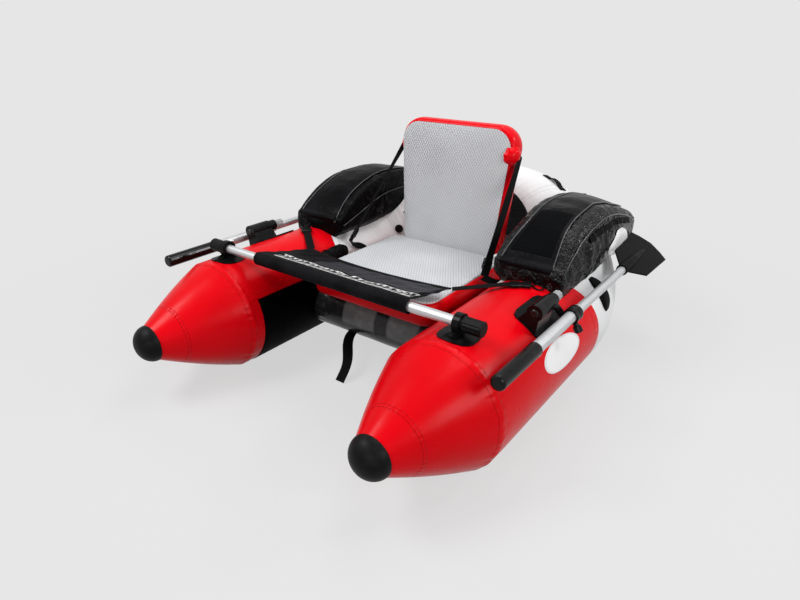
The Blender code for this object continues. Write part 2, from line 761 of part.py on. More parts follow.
def weld_back_patches(back):
    """Round reinforcement patches welded to the seat back's sides, where its straps are sewn."""
    for label, side in SIDES.items():
        foot = back_anchor(side, -SEAT_WALL_BULGE)
        slope = (BACK_TOP_HALF_WIDTH - BACK_BOTTOM_HALF_WIDTH) / BACK_HEIGHT
        up = back_point(0.0, 1.0, 0.0) - back_point(0.0, 0.0, 0.0)
        axis = np.array((side, 0.0, 0.0)) - slope * up
        proud = SEAT_WALL_BULGE + ANCHOR_PATCH_THICKNESS
        profile = [
            (0.0, ANCHOR_PATCH_R),
            (proud - ANCHOR_PATCH_THICKNESS / 2.0, ANCHOR_PATCH_R),
            (proud, ANCHOR_PATCH_R - ANCHOR_PATCH_THICKNESS),
        ]
        patch = loft("back_patch_" + label, turned_rings(profile, foot, axis, ROUND_SIDES), RED)
        join_to(back, patch)


def make_back_strap(label, side):
    """Webbing from the seat back's side patch down to the tab on the pontoon."""
    head = back_anchor(side, ANCHOR_PATCH_THICKNESS + 2.0 * GAP + WEBBING_THICKNESS)
    foot = np.array((side * STRAP_FOOT_X, STRAP_FOOT_Y, STRAP_FOOT_Z))
    path = [head + (foot - head) * share for share in np.linspace(0.0, 1.0, STRAP_STATIONS)]
    along = foot - head
    across = np.cross(along, (side, 0.0, 0.0))
    rings = webbing_rings(path, across, WEBBING_WIDTH, WEBBING_THICKNESS)
    loft("backrest_strap_" + label, rings, WEBBING, origin=hinge_point())


def make_strap_tab(label, side):
    """Wide webbing tab on the pontoon, with the bar that the seat back's strap ends at."""
    lift = GAP + WEBBING_THICKNESS / 2.0
    points = [
        skin_point(side, TAB_Y + TAB_LENGTH / 2.0, TAB_ANGLE, lift),
        skin_point(side, TAB_Y, TAB_ANGLE, lift),
        skin_point(side, TAB_Y - TAB_LENGTH / 2.0, TAB_ANGLE, lift + TAB_RISE),
        (side * STRAP_FOOT_X, STRAP_FOOT_Y, STRAP_FOOT_Z - GAP - WEBBING_THICKNESS),
    ]
    across = np.array((side * math.cos(TAB_ANGLE), 0.0, -math.sin(TAB_ANGLE)))
    rings = webbing_rings(points, across, WEBBING_WIDTH, WEBBING_THICKNESS)
    loft("strap_tab_" + label, rings, WEBBING)


def make_crossbar():
    """Aluminium tube from pontoon to pontoon, and the black sleeve that the apron hangs from."""
    ends = (-BAR_HALF_LENGTH, BAR_HALF_LENGTH)
    profile = [(ends[0], BAR_R), (ends[1], BAR_R), (ends[1], BAR_BORE_R), (ends[0], BAR_BORE_R)]
    rings = turned_rings(profile, (0.0, 0.0, BAR_Z), (1.0, 0.0, 0.0), BAR_SIDES)
    loft("crossbar", rings, ALUMINIUM, closed=True)
    ends = (-SLEEVE_HALF_LENGTH, SLEEVE_HALF_LENGTH)
    bore_r = BAR_R + GAP
    profile = [(ends[0], SLEEVE_R), (ends[1], SLEEVE_R), (ends[1], bore_r), (ends[0], bore_r)]
    rings = turned_rings(profile, (0.0, 0.0, BAR_Z), (1.0, 0.0, 0.0), BAR_SIDES)
    loft("crossbar_sleeve", rings, NYLON, closed=True)


def make_bar_cap(label, side):
    """Ribbed cap over the crossbar's end, hollow as far as the bar reaches."""
    bore_r = BAR_R + BORE_FIT
    bore_depth = BAR_HALF_LENGTH - BAR_CAP_INNER_X + GAP
    lead = BAR_CAP_RIB * 2.0
    profile = [
        (bore_depth, 0.0, 0.0),
        (bore_depth, bore_r, 0.0),
        (0.0, bore_r, 0.0),
        (0.0, BAR_CAP_R, 0.0),
        (lead, BAR_CAP_R, 0.0),
        (2.0 * lead, BAR_CAP_R, 1.0),
        (BAR_CAP_LENGTH - 2.0 * lead, BAR_CAP_R, 1.0),
        (BAR_CAP_LENGTH - lead, BAR_CAP_R, 0.0),
        (BAR_CAP_LENGTH, BAR_CAP_R - lead, 0.0),
    ]
    start = (side * BAR_CAP_INNER_X, 0.0, BAR_Z)
    rings = ribbed_rings(profile, start, (side, 0.0, 0.0), BAR_CAP_RIBS, BAR_CAP_RIB)
    loft("crossbar_cap_" + label, rings, RUBBER)


def make_saddle(label, side):
    """Ring round the crossbar on a short foot, moulded on a pad that is glued to the pontoon."""
    foot_z = TUBE_TOP_Z + GAP + SADDLE_PAD_THICKNESS / 2.0 - BAR_Z
    foot_top = foot_z + SADDLE_FOOT_HEIGHT
    neck = math.asin(max(-SADDLE_NECK_SHARE, foot_top / SADDLE_R))
    foot = [
        (-SADDLE_FOOT_HALF, foot_top - SADDLE_FOOT_HEIGHT / 2.0),
        (-SADDLE_FOOT_HALF, foot_z),
        (SADDLE_FOOT_HALF, foot_z),
        (SADDLE_FOOT_HALF, foot_top - SADDLE_FOOT_HEIGHT / 2.0),
    ]
    arc = np.linspace(neck, math.pi - neck, SADDLE_ARC_POINTS)
    outline, hole = bored_outline(arc, SADDLE_R, foot, BAR_R + BORE_FIT)
    faces = (SADDLE_X - SADDLE_WIDTH / 2.0, SADDLE_X + SADDLE_WIDTH / 2.0)
    rings = [
        [(side * x, y, BAR_Z + z) for y, z in loop]
        for loop, x in ((outline, faces[0]), (outline, faces[1]), (hole, faces[1]), (hole, faces[0]))
    ]
    saddle = loft("crossbar_saddle_" + label, rings, PLASTIC, closed=True)
    angle = (SADDLE_X - TUBE_HALF_SPACING) / TUBE_R
    rings = patch_rings(side, angle, 0.0, SADDLE_PAD_HALF, SADDLE_PAD_HALF, SADDLE_PAD_ROUNDNESS_SHARE, GAP,
                        SADDLE_PAD_THICKNESS)
    join_to(saddle, loft("saddle_pad_" + label, rings, PLASTIC))


def apron_point(across_share, back_share, depth):
    """Point of the apron's cloth: it falls from the sleeve, sags and ripples a little."""
    half = SLEEVE_HALF_LENGTH + (APRON_REAR_HALF_WIDTH - SLEEVE_HALF_LENGTH) * back_share
    x = across_share * half + APRON_REAR_SHIFT * back_share
    front_y = SLEEVE_R + GAP
    rear_y = APRON_REAR_Y + (APRON_CORNER_Y - APRON_REAR_Y) * across_share ** 2
    y = front_y + (rear_y - front_y) * back_share
    fall = (BAR_Z - APRON_REAR_Z) * (1.0 - (1.0 - back_share) ** APRON_FALL_POWER_SHARE)
    sag = APRON_SAG * math.sin(math.pi * back_share) * (1.0 - across_share ** 2)
    fade = math.sin(math.pi * back_share)
    ripple = APRON_FOLD * fade * math.sin(APRON_WAVE_COUNT * math.pi * across_share + 2.0 * back_share)
    return (x, y, BAR_Z - fall - sag + ripple - depth)


def make_apron():
    """Cloth apron between the crossbar and the seat, thicker at its rear hem."""
    rings = []
    for column in range(APRON_COLUMNS + 1):
        across_share = 2.0 * column / APRON_COLUMNS - 1.0
        shares = [row / APRON_ROWS for row in range(APRON_ROWS + 1)]
        top = [apron_point(across_share, share, 0.0) for share in shares]
        under = [
            apron_point(across_share, share, APRON_HEM if share > APRON_HEM_SHARE else APRON_THICKNESS)
            for share in reversed(shares)
        ]
        rings.append(top + under)
    loft("apron", rings, NYLON)


def make_tie_patch(label, side):
    """Round patch on the pontoon with the ring that the apron's corner strap ends at."""
    rings = patch_rings(side, PATCH_ANGLE, PATCH_Y, PATCH_R, PATCH_R, 2.0, GAP, PATCH_THICKNESS)
    loft("tie_patch_" + label, rings, RED)
    centre = tie_ring_centre(side)
    outward = np.array((side * math.cos(PATCH_ANGLE), 0.0, -math.sin(PATCH_ANGLE)))
    normal = np.array((side * math.sin(PATCH_ANGLE), 0.0, math.cos(PATCH_ANGLE)))
    ahead = np.array((0.0, 1.0, 0.0))
    rings = []
    for step in range(RING_STEPS):
        turn = 2.0 * math.pi * step / RING_STEPS
        reach = math.cos(turn) * outward + math.sin(turn) * ahead
        rings.append(circle(centre + RING_R * reach, RING_WIRE_R, reach, normal, RING_WIRE_SIDES))
    loft("tie_ring_" + label, rings, PLASTIC, closed=True)


def tie_ring_centre(side):
    return skin_point(side, PATCH_Y, PATCH_ANGLE, GAP + PATCH_THICKNESS + 3.0 * GAP + RING_WIRE_R)


def strap_height(x, lift):
    """Height of a strap that crosses the pontoon's top at a distance from the middle."""
    angle = math.asin(max(-1.0, (x - TUBE_HALF_SPACING) / TUBE_R))
    return TUBE_Z + skin_radius(angle, lift) * math.cos(angle)


def make_apron_strap(label, side):
    """Corner strap of the apron over the pontoon's shoulder, and its side release buckle."""
    ring = tie_ring_centre(side)
    corner = np.array(apron_point(side, 1.0, APRON_THICKNESS))
    heading = np.array((ring[0] - corner[0], ring[1] - corner[1], 0.0))
    reach = np.linalg.norm(heading)
    heading = heading / reach
    across = np.cross((0.0, 0.0, 1.0), heading)
    edge_reach = abs(across[0]) * WEBBING_WIDTH / 2.0
    buckle_end = reach - RING_R - RING_WIRE_R - 3.0 * GAP
    buckle_start = buckle_end - BUCKLE_LENGTH
    buckle_z = TUBE_TOP_Z + 2.0 * GAP + PATCH_THICKNESS + BUCKLE_THICKNESS / 2.0
    path = []
    for share in np.linspace(0.0, 1.0, STRAP_STATIONS - 1):
        point = corner + heading * (STRAP_START + (buckle_start - GAP - STRAP_START) * share)
        level = corner[2] + (buckle_z - corner[2]) * share
        edges = (abs(point[0]) - edge_reach, abs(point[0]) + edge_reach)
        point[2] = max([level] + [strap_height(x, STRAP_LIFT) for x in edges])
        path.append(point)
    loft("apron_strap_" + label, webbing_rings(path, across, WEBBING_WIDTH, WEBBING_THICKNESS), WEBBING)
    rings = []
    for share, width_share, thickness_share in BUCKLE_SHARES:
        middle = corner + heading * (buckle_start + share * BUCKLE_LENGTH)
        middle[2] = buckle_z
        half = across * BUCKLE_WIDTH / 2.0 * width_share
        face = np.array((0.0, 0.0, BUCKLE_THICKNESS / 2.0 * thickness_share))
        flat = half * BUCKLE_FLAT_SHARE
        edge = face / 2.0
        rings.append((
            middle - half - edge, middle - flat - face, middle + flat - face, middle + half - edge,
            middle + half + edge, middle + flat + face, middle - flat + face, middle - half + edge,
        ))
    loft("apron_buckle_" + label, rings, PLASTIC)


def make_oarlock_base(label, side):
    """Curved plate glued to the pontoon, and the drum housing that stands on it."""
    rings = patch_rings(side, PLATE_ANGLE, PLATE_Y, PLATE_HALF_WIDTH, PLATE_HALF_LENGTH,
                        PLATE_ROUNDNESS_SHARE, GAP, PLATE_THICKNESS)
    loft("oarlock_plate_" + label, rings, RUBBER)
    drum = np.array((DRUM_X, DRUM_Z))
    lift = 2.0 * GAP + PLATE_THICKNESS
    low = PLATE_ANGLE - DRUM_FOOT_HALF_ANGLE
    high = PLATE_ANGLE + DRUM_FOOT_HALF_ANGLE
    angles = [high] + sorted(facet_edges(low, high), reverse=True) + [low]
    foot = [skin_point(1.0, 0.0, angle, lift)[[0, 2]] - drum for angle in angles]
    first = math.atan2(foot[-1][1], foot[-1][0]) % (2.0 * math.pi)
    last = math.atan2(foot[0][1], foot[0][0]) % (2.0 * math.pi)
    arc = np.linspace(first - DRUM_SHOULDER, last + DRUM_SHOULDER - 2.0 * math.pi, DRUM_ARC_POINTS)
    outline, hole = bored_outline(arc, DRUM_R, foot, BOLT_R + BOLT_FIT)
    rings = [
        [(side * (DRUM_X + x), y, DRUM_Z + z) for x, z in loop]
        for loop, y in ((outline, DRUM_FRONT_Y), (outline, DRUM_REAR_Y), (hole, DRUM_REAR_Y),
                        (hole, DRUM_FRONT_Y))
    ]
    loft("oarlock_housing_" + label, rings, PLASTIC, closed=True)


def make_oarlock_knob(label, side):
    """Clamp bolt through the drum, with a button head in front and a ribbed knob behind."""
    hub_rear = DRUM_REAR_Y + GAP + HUB_LENGTH
    knob_front = hub_rear + GAP - DRUM_FRONT_Y
    head = KNOB_R * BOLT_HEAD_SHARE
    lead = 2.0 * KNOB_RIB
    profile = [
        (-GAP - lead, 0.0, 0.0),
        (-GAP - lead, head - lead, 0.0),
        (-GAP, head, 0.0),
        (-GAP, BOLT_R, 0.0),
        (knob_front, BOLT_R, 0.0),
        (knob_front, KNOB_R - KNOB_RIB, 0.0),
        (knob_front + lead, KNOB_R, 1.0),
        (knob_front + KNOB_LENGTH - lead, KNOB_R, 1.0),
        (knob_front + KNOB_LENGTH, KNOB_R - lead, 0.0),
        (knob_front + KNOB_LENGTH, 0.0, 0.0),
    ]
    start = (side * DRUM_X, DRUM_FRONT_Y, DRUM_Z)
    rings = ribbed_rings(profile, start, (0.0, 1.0, 0.0), KNOB_RIBS, KNOB_RIB)
    loft("oarlock_knob_" + label, rings, PLASTIC, origin=start)


def swing_axes(side):
    """Swing axis of the oar, and the direction that its blade swings to."""
    pin = np.array((side * math.sin(SWING_TILT), 0.0, math.cos(SWING_TILT)))
    out = np.array((side * math.cos(SWING_TILT), 0.0, -math.sin(SWING_TILT)))
    return pin, out


def make_oarlock_arm(label, side):
    """Hub on the clamp bolt, with a flat arm out to the collar and its pin."""
    drum = np.array((side * DRUM_X, COLLAR_Y, DRUM_Z))
    hub_front = DRUM_REAR_Y + GAP
    hub_rear = hub_front + HUB_LENGTH
    pin, out = swing_axes(side)
    oar = np.array((side * OAR_X, COLLAR_Y, OAR_Z))
    seat = oar - pin * (BOSS_REACH + GAP)
    half = HUB_LENGTH / 2.0
    middle = (hub_front + hub_rear) / 2.0
    hub_centre = np.array((drum[0], middle, drum[2]))
    turn = np.arange(BAR_SIDES) * 2.0 * math.pi / BAR_SIDES
    outer = [hub_centre + HUB_R * (math.cos(t) * pin + math.sin(t) * out) for t in turn]
    bore = [hub_centre + (BOLT_R + BOLT_FIT) * (math.cos(t) * pin + math.sin(t) * out) for t in turn]
    ahead = np.array((0.0, half, 0.0))
    rings = [
        [point - ahead for point in outer], [point + ahead for point in outer],
        [point + ahead for point in bore], [point - ahead for point in bore],
    ]
    hub = loft("oarlock_arm_" + label, rings, PLASTIC, closed=True,
               origin=(side * DRUM_X, middle, DRUM_Z))
    top = float(np.dot(seat - hub_centre, pin))
    reach = float(np.dot(seat - hub_centre, out))
    toe = (BOLT_R + HUB_R) / 2.0
    plate = []
    for share in np.linspace(-0.5, 0.5, ARM_END_POINTS):
        angle = math.pi * share
        plate.append((reach + ARM_END_R * math.cos(angle), COLLAR_Y - middle + ARM_END_R * math.sin(angle)))
    plate += [(toe, half * ARM_FOOT_SHARE), (toe, -half * ARM_FOOT_SHARE)]
    rings = []
    for level in (top - ARM_THICKNESS, top):
        rings.append([
            hub_centre + level * pin + a * out + np.array((0.0, b, 0.0)) for a, b in plate
        ])
    arm = loft("arm_plate_" + label, rings, PLASTIC)
    join_to(hub, arm)
    pin_rings = turned_rings(
        [(-ARM_THICKNESS / 2.0, PIN_R), (GAP + BOSS_REACH - COLLAR_R + PIN_R / 2.0, PIN_R)],
        seat, pin, PIN_SIDES,
    )
    spindle = loft("arm_pin_" + label, pin_rings, PLASTIC)
    join_to(hub, spindle)


def make_collar(label, side):
    """Collar round the oar, with the boss that turns on the arm's pin and the screw's seat."""
    pin, out = swing_axes(side)
    oar = np.array((side * OAR_X, COLLAR_Y, OAR_Z))
    half = COLLAR_LENGTH / 2.0
    bore_r = SHAFT_FRONT_R + COLLAR_FIT
    turn = np.arange(BAR_SIDES) * 2.0 * math.pi / BAR_SIDES
    wall = COLLAR_R - bore_r
    rim_r = COLLAR_R - wall * COLLAR_RIM_SHARE
    groove_r = COLLAR_R - wall * COLLAR_GROOVE_SHARE
    outline = [(-half, rim_r), (-half + wall / 2.0, COLLAR_R), (-wall / 2.0, COLLAR_R), (0.0, groove_r),
               (wall / 2.0, COLLAR_R), (half - wall / 2.0, COLLAR_R), (half, rim_r), (half, bore_r),
               (-half, bore_r)]
    rings = []
    for t in turn:
        reach = math.cos(t) * pin + math.sin(t) * out
        rings.append([oar + radius * reach + np.array((0.0, along, 0.0)) for along, radius in outline])
    collar = loft("oar_collar_" + label, rings, PLASTIC, closed=True, origin=oar)
    boss_rings = turned_rings(
        [(bore_r + wall / 2.0, BOSS_R), (BOSS_REACH, BOSS_R)], oar, -pin, ROUND_SIDES,
    )
    boss = loft("collar_boss_" + label, boss_rings, PLASTIC)
    join_to(collar, boss)
    bore_top = COLLAR_R - PIN_R
    hole_rings = turned_rings(
        [(bore_top, PIN_R + BOLT_FIT), (BOSS_REACH + CUT_OVERRUN, PIN_R + BOLT_FIT)], oar, -pin, PIN_SIDES,
    )
    cut_with(collar, hole_rings, "pin_hole_" + label)
    axis = np.array((side * math.sin(SCREW_TILT), 0.0, math.cos(SCREW_TILT)))
    screw_y = COLLAR_Y - half / 2.0
    seat = np.array((side * OAR_X, screw_y, OAR_Z)) + axis * (COLLAR_R + GAP)
    lead = 2.0 * SCREW_RIB
    profile = [
        (0.0, SCREW_STEM_R, 0.0),
        (SCREW_STEM_LENGTH, SCREW_STEM_R, 0.0),
        (SCREW_STEM_LENGTH, SCREW_R - SCREW_RIB, 0.0),
        (SCREW_STEM_LENGTH + lead, SCREW_R, 1.0),
        (SCREW_STEM_LENGTH + SCREW_LENGTH - lead, SCREW_R, 1.0),
        (SCREW_STEM_LENGTH + SCREW_LENGTH, SCREW_R - lead, 0.0),
    ]
    rings = ribbed_rings(profile, seat, axis, SCREW_RIBS, SCREW_RIB)
    loft("collar_screw_" + label, rings, PLASTIC, origin=seat)


def make_oar(label, side):
    """Grip, stepped shaft, and blade with a ribbed socket."""
    line = np.array((side * OAR_X, 0.0, OAR_Z))
    origin = (side * OAR_X, COLLAR_Y, OAR_Z)
    axis = (0.0, 1.0, 0.0)
    depth = GRIP_R - SHAFT_FRONT_R
    bore = SHAFT_FRONT_R + GAP
    length = GRIP_REAR_Y - GRIP_FRONT_Y
    profile = [(GRIP_END_R + GAP, 0.0), (GRIP_END_R + GAP, bore), (length, bore), (length, GRIP_R)]
    for share in np.linspace(0.0, 1.0, GRIP_END_POINTS):
        turn = math.pi / 2.0 * share
        profile.append((GRIP_END_R * (1.0 - math.sin(turn)), GRIP_R - GRIP_END_R * (1.0 - math.cos(turn))))
    profile.append((0.0, 0.0))
    start = line + np.array((0.0, GRIP_FRONT_Y, 0.0))
    loft("oar_grip_" + label, turned_rings(profile, start, axis, ROUND_SIDES), RUBBER, origin=origin)

    shaft_front = GRIP_FRONT_Y + GRIP_END_R + 2.0 * GAP
    profile = [
        (shaft_front, SHAFT_FRONT_R),
        (SHAFT_STEP_Y - depth, SHAFT_FRONT_R),
        (SHAFT_STEP_Y, SHAFT_FRONT_R - depth / 2.0),
        (SHAFT_STEP_Y, SHAFT_REAR_R),
        (SHAFT_REAR_Y, SHAFT_REAR_R),
    ]
    loft("oar_shaft_" + label, turned_rings(profile, line, axis, ROUND_SIDES), ALUMINIUM, origin=origin)

    across = np.array((side * math.cos(BLADE_TILT), 0.0, math.sin(BLADE_TILT)))
    normal = np.array((-side * math.sin(BLADE_TILT), 0.0, math.cos(BLADE_TILT)))
    half_outline = (
        (BLADE_THROAT_HALF, BLADE_THROAT_Y), (BLADE_SHOULDER_HALF, BLADE_SHOULDER_Y),
        (BLADE_HALF, BLADE_SIDE_Y), (BLADE_CHAMFER_HALF, BLADE_CHAMFER_Y), (0.0, BLADE_TIP_Y),
    )
    half_outline = [np.array(point) for point in half_outline]
    outline = half_outline + [point * np.array((-1.0, 1.0)) for point in reversed(half_outline[:-1])]
    middle = np.array((0.0, (BLADE_SHOULDER_Y + BLADE_SIDE_Y) / 2.0))
    rings = []
    rim = BLADE_THICKNESS / 2.0
    for level, inset in ((-rim, rim), (-rim / 2.0, 0.0), (rim / 2.0, 0.0), (rim, rim)):
        rings.append([
            line + (w - np.sign(w) * inset) * across
            + np.array((0.0, y - np.sign(y - middle[1]) * inset, 0.0)) + level * normal
            for w, y in outline
        ])
    blade = loft("oar_blade_" + label, rings, PLASTIC, origin=origin)
    length = FERRULE_REAR_Y - FERRULE_FRONT_Y
    profile = [(0.0, FERRULE_R)]
    for step in range(1, FERRULE_RIBS + 1):
        along = length * FERRULE_RIB_SHARE * step
        profile += [
            (along - FERRULE_RIB, FERRULE_R), (along, FERRULE_R - FERRULE_RIB),
            (along + FERRULE_RIB, FERRULE_R),
        ]
    profile += [(length * along_share, FERRULE_R * r_share) for along_share, r_share in FERRULE_SHARES]
    profile.append((length, FERRULE_TIP_R))
    start = line + np.array((0.0, FERRULE_FRONT_Y, 0.0))
    socket = loft("blade_socket_" + label, turned_rings(profile, start, axis, ROUND_SIDES), PLASTIC)
    join_to(blade, socket)
    bore_rings = turned_rings(
        [(FERRULE_FRONT_Y - CUT_OVERRUN, SHAFT_REAR_R + GAP), (SHAFT_REAR_Y + GAP, SHAFT_REAR_R + GAP)],
        line, axis, ROUND_SIDES,
    )
    cut_with(blade, bore_rings, "blade_bore_" + label)


def make_keeper(label, side):
    """Strap welded to the stern tube, with the thick pad that the stowed oar's shaft lies over."""
    angles = [KEEPER_TOP_ANGLE] + facet_edges(KEEPER_TOP_ANGLE, KEEPER_TOE_ANGLE) + [KEEPER_TOE_ANGLE]
    middle = (KEEPER_TOP_ANGLE + KEEPER_TOE_ANGLE) / 2.0
    half_angle = (KEEPER_TOE_ANGLE - KEEPER_TOP_ANGLE) / 2.0
    rings = []
    for angle in angles:
        off_share = abs(angle - middle) / half_angle
        half = KEEPER_WIDTH / 2.0 * (1.0 - off_share ** 4 / 2.0)
        thickness = KEEPER_THICKNESS + (KEEPER_PAD_THICKNESS - KEEPER_THICKNESS) * (1.0 - off_share ** 2)
        ends = (KEEPER_Y - half, KEEPER_Y + half)
        low = [skin_point(side, y, angle, BEND_SEAT) for y in ends]
        high = [skin_point(side, y, angle, BEND_SEAT + thickness) for y in reversed(ends)]
        rings.append(low + high)
    loft("oar_keeper_" + label, rings, WEBBING)


def bag_section(share):
    """Rounded section of the bag at a share of its length, in X and Z for the right side."""
    span = BAG_TOP_Z - BAG_FRONT_Z
    inner_top = BAG_FRONT_Z + span * float(np.interp(share, BAG_LENGTH_SHARES, BAG_INNER_TOP_SHARES))
    outer_top = BAG_FRONT_Z + span * float(np.interp(share, BAG_LENGTH_SHARES, BAG_OUTER_TOP_SHARES))
    bottom = BAG_UNDERSIDE_Z + BAG_TAIL_RISE * share ** 2
    mid = (bottom + outer_top) / 2.0
    full = math.sin(math.pi * (BAG_END_SHARE + (1.0 - 2.0 * BAG_END_SHARE) * share))
    shoulder = BAG_OUTER_X + (BAG_SHOULDER_X - BAG_OUTER_X) * full
    corners = [(BAG_INNER_X, bottom + BAG_TUCK_HEIGHT), (BAG_INNER_X + BAG_TUCK_WIDTH, bottom),
               (BAG_OUTER_X, bottom), (shoulder, mid), (BAG_OUTER_X, outer_top), (BAG_INNER_X, inner_top)]
    grown = math.sin(math.pi / 2.0 * min(1.0, share / BAG_ROUNDING_SHARE))
    top_r = BAG_CORNER_R * (BAG_FRONT_R_SHARE + (1.0 - BAG_FRONT_R_SHARE) * grown)
    low_r = BAG_CORNER_R / 3.0
    return rounded_outline(corners, [low_r, low_r, low_r, low_r, top_r, top_r], BAG_CORNER_STEPS)


def make_bag(label, side):
    """Saddle bag over the stern tube, cut underneath to the tube that it sits on."""
    rings = []
    for share in BAG_LENGTH_SHARES:
        y = BAG_FRONT_Y + (BAG_REAR_Y - BAG_FRONT_Y) * share
        flat = bag_section(share)
        rings.append([(side * x, y, z) for x, z in flat])
    bag = loft("bag_" + label, rings, NYLON)
    cut_with(bag, hull_rings(BEND_SEAT), "bag_cutter_" + label)


def make_valve(label, side):
    """Screw valve on the stern tube's inner shoulder."""
    centre, outward, upward = bend_frame(math.pi * VALVE_STEP_SHARE)
    angle = VALVE_ANGLE_STEPS * FACET
    normal = math.sin(angle) * outward + math.cos(angle) * upward
    foot = centre + (TUBE_FLAT_R + BEND_SEAT) * normal
    lead = VALVE_FLANGE_THICKNESS / 2.0
    profile = [
        (0.0, VALVE_FLANGE_R),
        (lead, VALVE_FLANGE_R),
        (VALVE_FLANGE_THICKNESS, VALVE_CAP_R),
        (VALVE_CAP_HEIGHT - lead, VALVE_CAP_R),
        (VALVE_CAP_HEIGHT, VALVE_CAP_R - lead),
    ]
    mirror = np.array((side, 1.0, 1.0))
    loft("air_valve_" + label, turned_rings(profile, foot * mirror, normal * mirror, ROUND_SIDES), PLASTIC)


def deck_edge(share):
    """Point on the stern bend's inner shoulder, where the deck's edge lies."""
    turn = math.pi * share
    centre, outward, upward = bend_frame(turn)
    radius = skin_radius(DECK_ANGLE, BEND_SEAT)
    return centre + radius * (math.sin(DECK_ANGLE) * outward + math.cos(DECK_ANGLE) * upward)


def make_deck():
    """Cloth deck stretched inside the stern bend behind the seat back."""
    shares = np.linspace(0.0, 0.5, DECK_SEARCH_STEPS)
    first = next(share for share in shares if deck_edge(share)[1] > DECK_FRONT_Y)
    rings = []
    for column in range(DECK_COLUMNS + 1):
        share = first + (1.0 - 2.0 * first) * column / DECK_COLUMNS
        edge = deck_edge(share)
        front = np.array((edge[0], deck_edge(first)[1] - GAP, deck_edge(first)[2]))
        middle = (edge + front) / 2.0
        drop = np.array((0.0, 0.0, DECK_THICKNESS))
        rings.append([front, middle, edge, edge + drop, middle + drop, front + drop])
    loft("cargo_deck", rings, NYLON)


def make_handle():
    """Carry handle: a webbing loop on the stern, flat at both feet and raised between them."""
    angle = HANDLE_ANGLE_STEPS * FACET
    path = []
    across = []
    middle = math.pi * HANDLE_BEND_SHARE
    for reach_share, height_share in HANDLE_SHARES:
        turn = middle + reach_share * HANDLE_LENGTH / 2.0 / BEND_LENGTH
        centre, outward, upward = bend_frame(turn)
        lift = HANDLE_SEAT + HANDLE_THICKNESS / 2.0 + height_share * HANDLE_RISE
        normal = math.sin(angle) * outward + math.cos(angle) * upward
        path.append(centre + (TUBE_FLAT_R + lift) * normal)
        across.append(math.cos(angle) * outward - math.sin(angle) * upward)
    loft("stern_handle", webbing_rings(path, across, HANDLE_WIDTH, HANDLE_THICKNESS), WEBBING)


def make_tail():
    """Spare webbing sewn under the front beam, hanging forward and down until it meets the floor."""
    beam_z = SEAT_BOTTOM_Z - GAP - BEAM_R
    under = beam_z - BEAM_R - GAP - WEBBING_THICKNESS / 2.0
    path = []
    for share in np.linspace(0.0, 1.0, TAIL_POINTS):
        drift = 0.5 - 0.5 * math.cos(math.pi * share)
        fall = share ** TAIL_FALL_POWER_SHARE
        path.append((
            TAIL_X + (TAIL_TIP_X - TAIL_X) * drift,
            FRONT_BEAM_Y + (TAIL_TIP_Y - FRONT_BEAM_Y) * share,
            under + (TAIL_FLOOR_CLEAR - under) * fall,
        ))
    rings = webbing_rings(path, (1.0, 0.0, 0.0), TAIL_WIDTH, WEBBING_THICKNESS)
    loft("beam_tail", rings, WEBBING)


def main():
    clear_scene()
    frame = bpy.data.objects.new("hull_frame", None)
    frame.location = (0.0, BAR_Y, 0.0)
    bpy.context.scene.collection.objects.link(frame)
    make_stern_tube()
    make_beam("front_beam", FRONT_BEAM_Y)
    make_beam("rear_beam", REAR_BEAM_Y)
    make_seat()
    make_back()
    make_crossbar()
    make_apron()
    make_deck()
    make_handle()
    make_tail()
    for label, side in SIDES.items():
        make_pontoon(label, side)
        make_nose_cap(label, side)
        make_inner_panel(label, side)
        make_back_strap(label, side)
        make_strap_tab(label, side)
        make_bar_cap(label, side)
        make_saddle(label, side)
        make_tie_patch(label, side)
        make_apron_strap(label, side)
        make_oarlock_base(label, side)
        make_oarlock_knob(label, side)
        make_oarlock_arm(label, side)
        make_collar(label, side)
        make_oar(label, side)
        make_valve(label, side)
        make_keeper(label, side)
        make_bag(label, side)


main()
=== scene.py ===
# %% [markdown]
# A float tube is a small inflatable craft for one person: two welded air tubes that join round an
# upswept stern, a padded seat on cross beams, a bag on each tube, and a crossbar with two oarlocks.
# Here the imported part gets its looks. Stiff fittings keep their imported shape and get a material.
# Soft pieces get a fuller shape, worked out as a grid of points, because air and foam round them.
# Lengths are in metres. The craft rests on the floor at Z = 0, and its bow points to -Y.

import math

